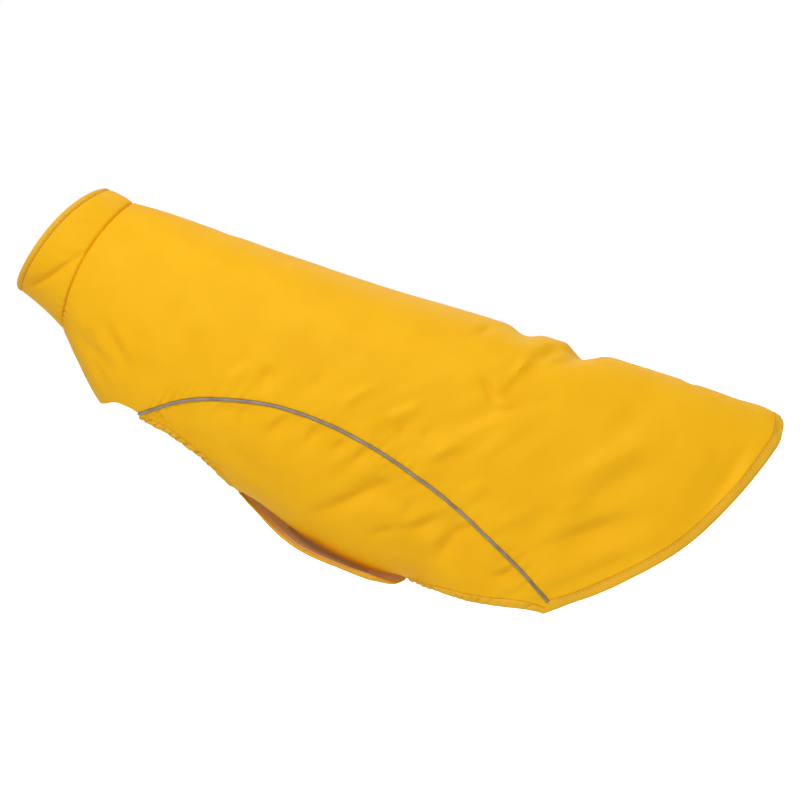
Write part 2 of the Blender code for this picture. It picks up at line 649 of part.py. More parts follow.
def rim_ring(shares, sides):
    """Points of the collar's rim, at shares of the way round from nape to throat."""
    turn = np.linspace(0, pi, 200)
    down = (1 - np.sign(np.cos(turn)) * np.abs(np.cos(turn)) ** (2 / RIM_POWER)) / 2
    out = RIM_HALF_WIDTH * np.sin(turn) ** (2 / RIM_POWER)
    out[-1] = 0
    nape, chord = np.array(RIM_NAPE), np.subtract(RIM_THROAT, RIM_NAPE)
    lean = np.array([-chord[1], chord[0]]) / np.linalg.norm(chord)
    bow = RIM_BOW * np.sin(turn) ** 2 * (1 + RIM_BOW_SKEW * np.cos(turn))
    line = nape + chord * down[:, None] + lean * bow[:, None]
    curve = np.stack([line[:, 0], out, line[:, 1]], 1)
    travelled = lengths(curve) / lengths(curve)[-1]
    ring = np.stack([np.interp(shares, travelled, curve[:, k]) for k in range(3)], 1)
    ring[:, 1] *= sides
    return ring


def collar_folds(shares, sides, t):
    """How far the collar's folds push it in."""
    push = np.zeros_like(t)
    for row in COLLAR_FOLDS:
        fold = dict(zip(COLLAR_FOLD_COLUMNS, row))
        run = (t - fold["rise_1"]) / (fold["rise_2"] - fold["rise_1"])
        line = fold["share_1"] + (fold["share_2"] - fold["share_1"]) * run
        x = (shares[:, None] - line) / fold["half_width"]
        swell = ease(run, -0.35, 0.35) * (1 - ease(run, 0.65, 1.2))
        push += np.where(sides[:, None] == fold["side"],
                         fold["depth"] * swell * np.exp(-x * x), 0)
    return push


def past_middle(flat):
    """How far flat points lie past the middle of the belly."""
    shape = flat.shape[:-1]
    return (flat[..., 1].ravel() - Form.half_girth(flat[..., 0].ravel())).reshape(shape)


def make_flap_lining(panel):
    """The lining shows inside the flap, where its free end stands off."""
    past = past_middle(panel)
    stations = np.flatnonzero(past[:, -1] > LINING_FROM)
    rows = np.flatnonzero(past[stations[len(stations) // 2]] > -(TAB_REACH + LINING_UNDER))
    add_cloth("flap_lining", panel[stations][:, rows], -(WALL + SEAM_GAP), LINING_WALL,
              TAN, 0.8, sign=-1)


def make_patch(name, panel, outside, sign):
    """One half of the closure, on the panel's own points near the belly's middle."""
    past = past_middle(panel)
    centre = np.argmin(np.abs(past[CELLS_LEG + CELLS_END // 2]))
    along = panel[:, centre, 0]
    stations = np.flatnonzero((along > PATCH_ALONG[0]) & (along < PATCH_ALONG[1]))
    across = sign * past[stations[len(stations) // 2]]
    rows = np.flatnonzero((across > PATCH_PAST[0]) & (across < PATCH_PAST[1]))
    add_cloth(name, panel[stations][:, rows], outside, PATCH_WALL, DARK, 0.9, sign=sign)


def main():
    for item in list(bpy.data.objects):
        bpy.data.objects.remove(item)
    make_back_panel()
    tab = make_side("near", 1, TAB_REACH, *TAB_CORNERS, CASING_WALL)
    flap = make_side("far", -1, FLAP_REACH, *FLAP_CORNERS, FLAP_EDGE_WALL)
    for side, sign in (("near", 1), ("far", -1)):
        make_piping(side, sign)
    make_rear_hem()
    make_collar()
    make_flap_lining(flap)
    make_patch("loop_patch", tab, SEAM_GAP + PATCH_WALL, 1)
    make_patch("hook_patch", flap, -(WALL + SEAM_GAP + LINING_WALL + PATCH_GAP), -1)


main()
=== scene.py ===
"""Dog raincoat: its cloth, seams, gathers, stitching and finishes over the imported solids.

Everything is worked out in millimetres in the coat's own frame:
    along   from the collar seam down the middle of the back towards the tail
    across  sideways from the middle plane, negative on the near side (-Y)
    deep    square to the back line, down towards the belly
The cloth is laid out on a second, flat frame, as the cutter sees it:
    along   as above
    round   distance round the body from the middle of the back,
            positive on the near side and negative on the far side
Cloth.worn() takes points of the flat frame to the worn coat, and to_world() turns the
coat by the slope of the back and goes to metres.
"""
from math import cos, pi, radians, sin

import bmesh
import bpy
import numpy as np
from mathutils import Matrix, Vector


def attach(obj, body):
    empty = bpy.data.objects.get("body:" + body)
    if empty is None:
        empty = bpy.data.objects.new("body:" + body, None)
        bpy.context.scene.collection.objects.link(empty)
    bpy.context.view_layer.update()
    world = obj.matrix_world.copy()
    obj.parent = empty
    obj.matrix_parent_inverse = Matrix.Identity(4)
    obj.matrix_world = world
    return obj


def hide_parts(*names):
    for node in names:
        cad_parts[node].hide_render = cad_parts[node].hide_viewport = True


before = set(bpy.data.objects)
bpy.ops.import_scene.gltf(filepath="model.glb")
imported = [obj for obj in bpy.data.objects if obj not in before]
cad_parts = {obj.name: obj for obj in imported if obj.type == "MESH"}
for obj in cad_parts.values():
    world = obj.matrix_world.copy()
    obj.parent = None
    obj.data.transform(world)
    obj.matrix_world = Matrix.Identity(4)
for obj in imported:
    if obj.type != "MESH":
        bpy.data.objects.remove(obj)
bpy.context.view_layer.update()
bpy.ops.object.select_all(action="DESELECT")

MM = 0.001

# ---- driving sizes (mm)
# A wall is a thickness, proud is how far a strip stands above the cloth beside it, and
# reach is how far a side panel runs past the middle of the belly.
BACK_LENGTH = 499.0        # collar seam to tail hem, along the middle of the back
BACK_SLOPE = radians(17.9)  # the back falls this much towards the tail
HELD_AT = 230.0            # along: where the wearer's back carries the coat
WALL = 2.0
SEAM_GAP = 0.3
FRONT_SEAM_SHUT = 0.01     # the front seam's inner faces stand this far from the middle plane
COLLAR_WALL = 2.6
COLLAR_STEP = 0.4          # the collar's foot is this far under the back panel's outside
RIM_WIDTH = 4.2
RIM_PROUD = 0.3
PIPING_LIFT = 0.3          # the middle of the strand above the cloth
PIPING_ROOM = 1.2          # half the opening that the seam leaves for the piping
PIPING_SHOWN = 0.98        # radius of the part that stands above the cloth
PIPING_FLANGE = 1.1        # half width of the flange that the seam holds
FLANGE_TOP, FLANGE_FOOT = 1.0, 1.9  # the flange's faces under the cloth's outside
CASING_WIDTH = 6.2
CASING_SHARE = 0.45        # at most this share of the room from the seam to the edge
CASING_PROUD = 0.4
CASING_WALL = 2.8
HEM_WIDTH = 6.6
HEM_PROUD = 0.3
HEM_WALL = 2.6
LINING_WALL = 1.0
LINING_FROM = 3.0          # the flap is lined where its edge is so far past the middle
LINING_UNDER = 6.0         # and to so far under the tab's edge

# The flap comes from the far side. It is lifted off the form to pass outside the tab, and
# its free end rises. Rows are along and how far.
FLAP_LIFT = ((145, 7.0), (197, 8.6), (228, 6.4), (265, 6.4))
FLAP_LIFT_PAST = (-66, -27)   # past the middle of the belly: begins, and is full
FLAP_LIFT_FRONT = (108, 142)  # along: begins, and is full
FLAP_LIFT_REAR = (264, 306)   # along: fades, and is gone
FLAP_REACH = 43
FLAP_RISE = ((160, 4.6), (197, 4.0), (228, 5.6), (245, 6.6), (275, 7.6))
FLAP_RISE_PAST = (16, 50)     # past the middle of the belly: begins, and is full
FLAP_CORNERS = (197, 250)     # along: the free end's front and rear corner
FLAP_EDGE_WALL = 2.6
TAB_REACH = 22
TAB_CORNERS = (160, 267)

# ---- the worn form
# Sag is how far the middle of the back lies under the back line, widest is the share of
# the depth where the section is widest, and the powers say how square its halves are.
SECTION_COLUMNS = ("along", "sag", "depth", "half_width", "widest", "top_power",
                   "bottom_power")
SECTIONS = (
    (-60, 0, 62, 47, 0.5, 2.1, 2.1),
    (-20, 0, 103, 51, 0.5, 2.1, 2.1),
    (0, 0, 126, 54, 0.49, 2.1, 2.1),
    (20, -0.9, 145.5, 57, 0.49, 2.15, 2.2),
    (60, -0.2, 162, 64, 0.48, 2.2, 2.3),
    (110, 1, 171.5, 70, 0.48, 2.25, 2.4),
    (145, 1.6, 177.4, 73.5, 0.48, 2.3, 2.5),
    (194, 1.9, 193.6, 76, 0.48, 2.3, 2.5),
    (245, 0.6, 202.1, 76, 0.48, 2.3, 2.5),
    (275, -0.3, 200.3, 75, 0.48, 2.3, 2.5),
    (300, 0.2, 213.6, 74.5, 0.48, 2.3, 2.4),
    (325, 0, 234, 73.5, 0.48, 2.3, 2.4),
    (370, -0.4, 262, 71.5, 0.48, 2.3, 2.3),
    (430, -0.6, 285, 68, 0.48, 2.3, 2.2),
    (465, 0.4, 293, 64.5, 0.48, 2.25, 2.2),
    (488, 0.3, 298, 62, 0.48, 2.2, 2.2),
    (BACK_LENGTH, 2.8, 300, 61, 0.48, 2.2, 2.2),
)

# ---- the cut
NECK_LEAN = 19.5           # the neck seam's throat is this far in front of its nape
NECK_DEPTH = 102.0
NECK_POWER = 2.2
CHEST_POINT = 17.8         # along: where the front seam meets the chest edge

# Edges: along, and how far short of the middle of the belly.
CHEST_EDGE = ((17.8, 0), (24.5, 23.4), (31, 38), (37, 46.5), (44, 50.5),
              (50, 48.5), (54, 46.5))
LEG_EDGE = ((54, 46.5), (63, 48.5), (74, 51.5), (85, 50.5), (96, 48.5), (106, 46),
            (115, 40.5), (125, 29), (135, 14.5), (146, 0))
BELLY_EDGE = ((370.4, 112), (350, 99.5), (336, 88), (322, 75), (308, 60),
              (296, 47), (287, 36), (280, 22), (276, 8), (274.5, 0))
# along, deep
PIPING = ((54, 140), (61.5, 134.2), (69, 128.4), (78, 122), (90, 115.5), (118, 106.5),
          (150, 101.2), (188, 102.5), (225, 109.6), (267, 122.8), (310, 141.6),
          (344, 159.1), (370, 175))
# along, round
HEM = ((BACK_LENGTH, 0), (BACK_LENGTH, 30), (489, 62), (470, 104.5), (449, 141),
       (427, 168.6), (405, 191.2), (385.5, 207.6), (371.5, 219))
# The hem's ends are cut to pass the piping and meet the side panel, inner to outer corner.
HEM_END = ((371.05, 210.1), (369.4, 212.9), (369.5, 217.0), (370.05, 221.0))

# ---- folds and creases
# The large folds are the solids' own. Creases are narrower and belong to the cloth alone.
# Troughs have depth > 0 and ridges depth < 0. Each runs from one flat point to another,
# bowed sideways by bow; share says where along its length it is deepest. A crease comes to
# an edge, and its lower slope is lean times as wide as its upper one.
FOLD_COLUMNS = ("along_1", "round_1", "along_2", "round_2", "bow", "depth", "half_width",
                "share")
FOLDS = (
    # the pinch across the back, and what runs from it
    (357, -46, 331.5, 46, -2, 8.4, 13.5, 0.5),
    (307.5, -46, 295.5, 40, 0, 3.8, 11, 0.5),
    (346, 22, 296, 92, 5, 2, 8, 0.3),
    (340, -40, 326, 30, 0, -1.2, 7, 0.5),
    (318, 30, 286, 66, -4, 1, 8, 0.7),
    (336, 72, 262, 132, 6, 2.6, 12, 0.4),
    # the near side, tail end
    (418, 84, 366, 158, 6, 2.8, 13, 0.55),
    (410, 140, 366, 180, 4, 2.2, 11, 0.5),
    (462, 60, 440, 118, -3, 2.4, 10, 0.5),
    (352, 120, 322, 168, 4, -1.6, 14, 0.5),
    # the near side, under the piping and over the shoulder
    (196, 172, 262, 198, -5, 2.6, 12, 0.5),
    (120, 176, 168, 206, 3, 1.8, 10, 0.5),
    (60, 52, 118, 118, 6, 1.4, 16, 0.5),
    (30, 128, 70, 146, 3, 1.5, 10, 0.5),
    # the far side has its own
    (352, -26, 300, -84, -5, 3.2, 9, 0.3),
    (326, -70, 268, -128, -6, 2.4, 12, 0.45),
    (430, -78, 380, -150, -6, 2.8, 13, 0.5),
    (470, -58, 446, -112, 3, 2.2, 10, 0.5),
    (404, -146, 356, -176, -4, 2, 11, 0.5),
    (190, -168, 250, -200, 5, 2.4, 12, 0.5),
    (64, -60, 130, -112, -6, 1.6, 16, 0.5),
    (28, -124, 66, -148, -3, 1.5, 10, 0.5),
)
CREASE_COLUMNS = FOLD_COLUMNS + ("lean",)
CREASES = (
    # near side, collar to ribs
    (-9, 126, 34.5, 153, 1.2, 3.4, 9.5, 0.45, 0.8),
    (6, 145.5, 31.5, 171, -2.1, 2.2, 6.4, 0.5, 0.8),
    (13.5, 103.5, 49.5, 144, 1.6, -2.6, 6, 0.5, 1.3),
    (7.5, 112.5, 42, 151.5, -1.5, 2.8, 6.4, 0.5, 1.2),
    (3, 129, 9, 126, 0, 1.8, 4.8, 0.5, 1),
    (13.5, 22.5, 30, 24, 0.8, -1.1, 2.9, 0.4, 1.2),
    (108, 106.5, 112.5, 126, -2.8, 1.9, 6.4, 0.6, 1),
    (133.5, 117, 133.5, 136.5, 0, 3.8, 6, 0.4, 1.4),
    (117, 123, 108, 136.5, 0.4, -1.8, 4.2, 0.5, 1.6),
    (172.5, 108, 162, 129, -0.7, 1.8, 6.4, 0.5, 1.2),
    (209, 107, 187, 134, 2.2, -3.2, 3.4, 0.5, 1.6),
    (243, 108, 217, 130, -1.7, -3, 4, 0.45, 1.8),
    (253.5, 123, 250.5, 136.5, -0.2, 2.4, 4.8, 0.5, 1.2),
    (235.5, 124.5, 234, 139.5, -0.7, 1.9, 4.2, 0.5, 1.4),
    # near side, from the pinch down towards the piping
    (328.5, 16.5, 306, 63, 0.3, 5, 6.5, 0.35, 0.9),
    (303, 63, 295.5, 88.5, 0.5, 4.6, 3.8, 0.4, 1),
    (309, 33, 295.5, 88.5, 0.9, -3.6, 3.6, 0.6, 1.2),
    (277.5, 78, 292.5, 93, 0, 5, 6, 0.55, 0.5),
    (291, 93, 306, 88.5, 0.7, -3.4, 3.6, 0.5, 1.3),
    (274.5, 21, 261, 49.5, -2.4, 3, 4.2, 0.5, 1.2),
    (325.5, 79.5, 247.5, 150, 0.3, -4.6, 7, 0.45, 1.7),
    (319.5, 97.5, 277.5, 156, 1.9, -4.4, 7.5, 0.5, 2),
    (277.5, 127.5, 253.5, 150, 0.6, -2.8, 4.2, 0.5, 1.6),
    (303, 145.5, 286.5, 162, 0, -2.2, 4.2, 0.5, 1.8),
    (334.5, 108, 307.5, 157.5, 5, -3.4, 13, 0.5, 1.5),
    # near side, under the piping
    (118.5, 148.5, 111, 160.5, 0.2, 2.4, 3.8, 0.45, 1.4),
    (126, 147, 126, 166.5, 0, 1.9, 5.1, 0.35, 1.2),
    (157.5, 145.5, 144, 169.5, 0.1, 4.1, 5.1, 0.4, 1.5),
    (180, 145.5, 172.5, 165, 0.1, 3.5, 4.5, 0.35, 1.4),
    (199.5, 148.5, 190.5, 163.5, -1.3, 2.8, 4.5, 0.45, 1.5),
    (216, 151.5, 208.5, 166.5, 0, 3, 4.2, 0.4, 1.5),
    (248, 162, 190, 217, 1.6, 6, 5.4, 0.5, 1.9),
    (256.5, 174, 255, 193.5, -0.6, 2.8, 5.1, 0.5, 1.6),
    (259, 198, 232, 217, 1.1, 2.8, 4, 0.5, 1.8),
    (279, 180, 255, 204, -2.1, 3.6, 5, 0.5, 1.6),
    (296, 180, 288, 220, 2.4, 5.4, 7.4, 0.45, 1.2),
    (306, 176, 290, 196, 1.1, 3.4, 4.2, 0.5, 1.6),
    (344, 194, 324, 212, -1.6, 3.4, 4.8, 0.5, 1.6),
    # near side, tail end
    (357, 145.5, 319.5, 189, -1.2, 2.6, 13, 0.5, 1),
    (406.5, 42, 370.5, 103.5, 2.4, 2.8, 13, 0.5, 1),
    (411, 73.5, 349.5, 136.5, 2.6, -4.6, 11, 0.45, 1.5),
    (373.5, 130.5, 352.5, 145.5, -3, -1.9, 5.6, 0.5, 1.6),
    (424, 122, 344, 184.5, -1.2, 6.2, 11, 0.45, 2),
    (438, 144, 376, 198, 0.8, 4.8, 11, 0.5, 2),
    (474, 48, 448.5, 121.5, -4.7, 5, 10, 0.5, 0.6),
    (480, 52.5, 462, 100.5, -2.5, -1.6, 6, 0.5, 1.2),
    (495, 15, 495, 37.5, -1.5, 2.6, 4.8, 0.5, 1),
    # far side
    (-8, -118, 30, -150, -1.5, 3.6, 6.9, 0.55, 1.3),
    (20, -20, 34, -34, 0, 1.7, 4.6, 0.5, 2.2),
    (96, -104, 90, -132, 0, 2.8, 5.1, 0.6, 1),
    (128, -112, 130, -130, 1, 1.9, 4.6, 0.5, 1.6),
    (160, -100, 148, -132, 2, 3.6, 5.8, 0.55, 1.8),
    (198, -116, 186, -132, 1, 2.1, 5.1, 0.5, 1.3),
    (232, -106, 212, -134, 2, 4, 5.8, 0.5, 2.2),
    (330, -60, 250, -150, 4, 4.8, 7.5, 0.55, 1.2),
    (296, -46, 284, -88, 2, 3.6, 5.8, 0.6, 1.6),
    (318, -112, 300, -154, 2, 3.4, 8, 0.5, 1.8),
    (276, -138, 262, -160, 0, 1.9, 5.1, 0.5, 1.3),
    (136, -152, 128, -172, 1, 3.2, 5.1, 0.45, 2.2),
    (170, -148, 164, -164, 0, 1.9, 4.6, 0.5, 1),
    (214, -150, 200, -170, 1, 2.7, 5.1, 0.5, 1.6),
    (262, -162, 214, -204, 3, 4.8, 6.9, 0.5, 1.8),
    (310, -186, 298, -212, 2, 2.7, 6.4, 0.5, 1.3),
    (420, -50, 380, -96, 3, 3.4, 8, 0.5, 1.2),
    (398, -84, 344, -140, 3, 4, 7.5, 0.5, 1),
    (416, -126, 362, -178, 3, 4.9, 6.9, 0.45, 1.6),
    (410, -144, 366, -186, 3, -2.1, 6.9, 0.5, 1.8),
    (468, -58, 452, -108, 2, 4.4, 6.9, 0.5, 1.3),
    # over the back
    (352, -30, 345, 10, 2, 2.2, 5.8, 0.5, 1),
    (310, -34, 306, 6, -2, 1.5, 5.8, 0.5, 1.6),
    (250, -60, 246, -22, 2, 1.2, 6.9, 0.5, 1.8),
    (150, -48, 162, -14, 2, 1, 8, 0.5, 1.2),
    (60, -30, 74, 8, 3, 1, 8, 0.5, 1.2),
    (430, -24, 424, 14, 2, 1.5, 6.9, 0.5, 1),
    # the flap, seen from below
    (214, -262, 222, -238, 1, 1.3, 5.8, 0.5, 1.8),
    (236, -270, 248, -244, -1, 1.2, 5.8, 0.5, 1.3),
)
FOLD_SHOULDER = 0.35       # the cloth stands up beside a fold, by this part of its depth
FOLD_RUNS_ON = 0.1         # past both ends, in lengths
CREASE_ROUND = 0.20        # how far its edge is rounded off, in half widths

# Puckers where a seam draws the cloth in: pitch, height, reach, slant and other. On the
# other side of the seam they are other times as high.
PIPING_PUCKERS = (7.4, 0.50, 4.2, 0.50, 1.3)
NECK_PUCKERS = (7.3, 0.50, 2.4, 0.25, 1.0)
HEM_PUCKERS = (8.2, 0.26, 3.0, 0.30, 1.0)
GATHERS = (6.6, 0.85, 4.6, -0.55, 1.0)
PIPING_PUCKERS_RUN = (50, 66, 352, 372)  # along: they come in and fade out
GATHERS_FADE = 14          # towards the ends of an edge
CASING_FADE = 8
LIES_FLAT = (2, 16)        # short of the middle of the belly: no gathers, and full ones
FAR_GATHERS = 0.8          # as high as the near side's

# How deep and how far in the cloth rolls at a panel's edges, at the neck seam and at a
# strip's inner and outer edge. The inside follows by a part of that.
PANEL_ROLL = (0.3, 0.6)
NECK_ROLL = (1.5, 0.9)
CASING_ROLLS = ((0.8, 0.8), (1.15, 1.0))
HEM_ROLLS = ((0.35, 0.5), (1.0, 1.0))
ROLL_INSIDE = 0.4
STRIP_ROLL_INSIDE = 0.8

# Slack wrinkles beside the piping and the pinch.
SLACK_REACH = 42           # from the piping
SLACK_GROWS = (60, 230)    # along: from nothing to its full
SLACK_HALVES = (380, 460)  # along: from its full to half
PINCH = (305, 62)          # along and round
PINCH_REACH = (34, 40)
SLACK_SHARES = (0.10, 0.9, 0.8)  # everywhere, beside the piping, at the pinch
DIAGONAL = 0.7071          # the wrinkles run down towards the collar
RUMPLES = ((1.45, 32, 9.5, 7, 0), (0.55, 16, 5.4, 0, 9))  # height, length, width, starts
RUMPLE_BEND = (5, 60)      # they bend by so much over such a length
FAR_RUMPLES = 500          # the far side reads the pattern so far away from the near side
PATTERN = 64               # knots of the pattern each way

# ---- the collar
RIM_NAPE = (-24.0, -3.5)
RIM_THROAT = (-61.0, 84.5)
RIM_HALF_WIDTH = 51.0
RIM_POWER = 2.1
RIM_BOW = 4.2
RIM_BOW_SKEW = 0.5
RIM_STITCH = 0.24          # place of the topstitching, as a share of the width
HEM_STITCH = 0.14
COLLAR_FULLNESS = 1.5
COLLAR_FOLD_COLUMNS = ("side", "share_1", "rise_1", "share_2", "rise_2", "depth",
                       "half_width")
COLLAR_FOLDS = (
    (-1, 0.50, 0.12, 0.82, 0.90, 1.4, 0.050),
    (1,  0.48, 0.15, 0.70, 0.90, 1.6, 0.065),
)
COLLAR_CREASES = (
    (-1, 0.49, 0.14, 0.81, 0.84, 1.7, 0.024),
    (-1, 0.30, 0.05, 0.36, 0.60, 0.7, 0.018),
    (-1, 0.47, 0.05, 0.52, 0.50, 0.7, 0.018),
    (-1, 0.12, 0.05, 0.15, 0.50, 0.5, 0.020),
    (1, 0.52, 0.10, 0.74, 0.92, 1.3, 0.024),
    (1, 0.28, 0.05, 0.35, 0.60, 0.7, 0.020),
    (1, 0.86, 0.10, 0.80, 0.55, 0.6, 0.020),
)

# ---- mesh density
CELLS_FRONT = 5
CELLS_CHEST = 5
CELLS_PIPING = 30
CELLS_ROUND = 15
CELLS_SIDE = 14
CELLS_LEG = 14
CELLS_END = 5
CELLS_BELLY = 11
STEPS_ALONG = 5            # finer cells for each cell of the solids
STEPS_ROUND = 6
STEPS_SIDE = 5
STEPS_CASING = 12
STEPS_HEM = 8
STEPS_COLLAR = 7
STEPS_LINING = (8, 6)
CELLS_COLLAR = 26
PIPING_SIDES = 12
CLOSE_TO_SEAM = (0.02, 0.05, 0.09, 0.15)  # in cells
CASING_ACROSS = np.array([0, 0.05, 0.12, 0.22, 0.36, 0.5, 0.64, 0.78, 0.88, 0.95, 1.0])
HEM_ACROSS = np.array([0, 0.04, 0.09, 0.16, 0.26, 0.40, 0.55, 0.70, 0.82, 0.90, 0.96, 1.0])
RIM_ACROSS = np.array([0, 0.05, 0.12, 0.22, 0.35, 0.5, 0.64, 0.76, 0.86, 0.93, 0.98, 1.0])
COLLAR_CLOSE = [0.006, 0.014, 0.025, 0.975, 0.986, 0.994]

# ---- stitches
STITCH_LENGTH = 2.4
STITCH_THICK = 0.36
STITCH_PITCH = 3.0
STITCH_BARREL, STITCH_TAPER = 0.62, 0.19  # of the length: middle, and each end
STITCH_DROP = 0.12
STITCH_TIP = 0.45          # thickness there, of the middle's
STITCH_SWING = 0.06        # radians off the line
HEM_STITCHES_SUNK = 0.12
RIM_STITCHES_SUNK = 0.14

# The flat cut of the pieces that aren't strips: width, length and area (mm, mm2).
CUTS = {
    "back_panel_cloth": (446, 520, 163000),
    "side_panel_near_cloth": (320, 180, 27500),
    "side_panel_far_cloth": (320, 200, 30000),
    "flap_lining_knit": (105, 90, 6500),
}
COLLAR_CUT, COLLAR_MEAN_WIDTH = 48, 40
COLLAR_LONGER, RIM_SHORTER, GATHERED_LONGER = 1.04, 0.98, 1.12  # than the worn seam


# ==== curves
def smooth(xs, ys, x):
    """Read a table at x, on a cubic whose slopes come from the neighbouring rows."""
    xs, ys, x = (np.asarray(item, float) for item in (xs, ys, x))
    step = np.diff(xs)
    rise = np.diff(ys) / step
    slope = np.empty_like(ys)
    slope[0], slope[-1] = rise[0], rise[-1]
    slope[1:-1] = (rise[:-1] * step[1:] + rise[1:] * step[:-1]) / (step[:-1] + step[1:])
    row = np.clip(np.searchsorted(xs, x) - 1, 0, len(xs) - 2)
    share = (x - xs[row]) / step[row]
    t = np.clip(share, 0, 1)
    inside = (ys[row] * (1 + 2 * t) * (1 - t) ** 2 + ys[row + 1] * t * t * (3 - 2 * t)
              + step[row] * (slope[row] * t * (1 - t) ** 2 - slope[row + 1] * t * t * (1 - t)))
    before = np.where(share < 0, slope[row] * step[row] * share, 0)
    after = np.where(share > 1, slope[row + 1] * step[row] * (share - 1), 0)
    return inside + before + after


def ease(x, low, high):
    """0 at low and 1 at high, with level ends."""
    t = np.clip((np.asarray(x, float) - low) / (high - low), 0, 1)
    return t * t * (3 - 2 * t)


def window(x, up_from, up_to, down_from, down_to):
    """0, then 1 from up_to as far as down_from, then 0 again."""
    return ease(x, up_from, up_to) * (1 - ease(x, down_from, down_to))


def hump(distance, reach, height=1.0):
    """Its height at distance 0, and hardly anything past two reaches."""
    return height * np.exp(-(distance / reach) ** 2)


def swung(value, run, *swings):
    """A value that swings along the run. Each swing has a height, length and start, and
    their lengths are uneven, so that no pattern comes back."""
    for height, length, start in swings:
        value = value + height * np.sin(run / length + start)
    return value


def unit(vectors):
    """The same directions, 1 long."""
    return vectors / np.linalg.norm(vectors, axis=-1, keepdims=True)


def to_side(line, sign):
    """Flat points of the near side, for the near side (1) or the far side (-1)."""
    return line * np.array([1, sign])


def lengths(points):
    """Distance travelled to each point of a polyline."""
    steps = np.linalg.norm(np.diff(points, axis=0), axis=1)
    return np.concatenate([[0], np.cumsum(steps)])


def read_line(points, travelled, wanted):
    """The polyline's places at the wanted distances."""
    return np.stack([np.interp(wanted, travelled, column) for column in points.T], 1)


def resample(points, cells):
    """The polyline's points again, evenly spaced."""
    travelled = lengths(points)
    return read_line(points, travelled, np.linspace(0, travelled[-1], cells + 1))


def through(rows, cells):
    """An evenly spaced smooth curve through a table's rows."""
    rows = np.asarray(rows, float)
    travelled = lengths(rows)
    fine = np.linspace(0, travelled[-1], 400)
    return resample(np.stack([smooth(travelled, column, fine) for column in rows.T], 1), cells)


def beside(points, distance):
    """A plane polyline moved to its right by the distance, with mitred corners."""
    ahead = unit(np.diff(points, axis=0))
    right = np.stack([ahead[:, 1], -ahead[:, 0]], 1)
    before = np.vstack([right[:1], right])
    middle = unit(before + np.vstack([right, right[-1:]]))
    stretch = 1 / np.clip((middle * before).sum(1), 0.5, 1)
    return points + middle * (distance * stretch)[:, None]


def coons(top, bottom, left, right):
    """A grid filled in between four edge polylines that meet at their ends."""
    along = lengths(bottom)
    s = (along / along[-1])[:, None, None]
    down = lengths(left)
    t = (down / down[-1])[None, :, None]
    corners = ((1 - s) * (1 - t) * top[0] + s * (1 - t) * top[-1]
               + (1 - s) * t * bottom[0] + s * t * bottom[-1])
    return ((1 - t) * top[:, None] + t * bottom[:, None]
            + (1 - s) * left[None] + s * right[None] - corners)


def places(cells, steps, first=False, last=False):
    """Where to read a line of so many cells: even steps, and closer ones by a seam."""
    close = np.array(CLOSE_TO_SEAM)
    even = np.linspace(0, cells, cells * steps + 1)
    return np.unique(np.concatenate([even, close if first else [],
                                     cells - close if last else []]))


def refine(line, wanted):
    """A coarse line read between its points, on a smooth curve."""
    whole = np.arange(len(line))
    columns = line.reshape(len(line), -1).T
    read = np.stack([smooth(whole, column, wanted) for column in columns], 1)
    return read.reshape(-1, *line.shape[1:])


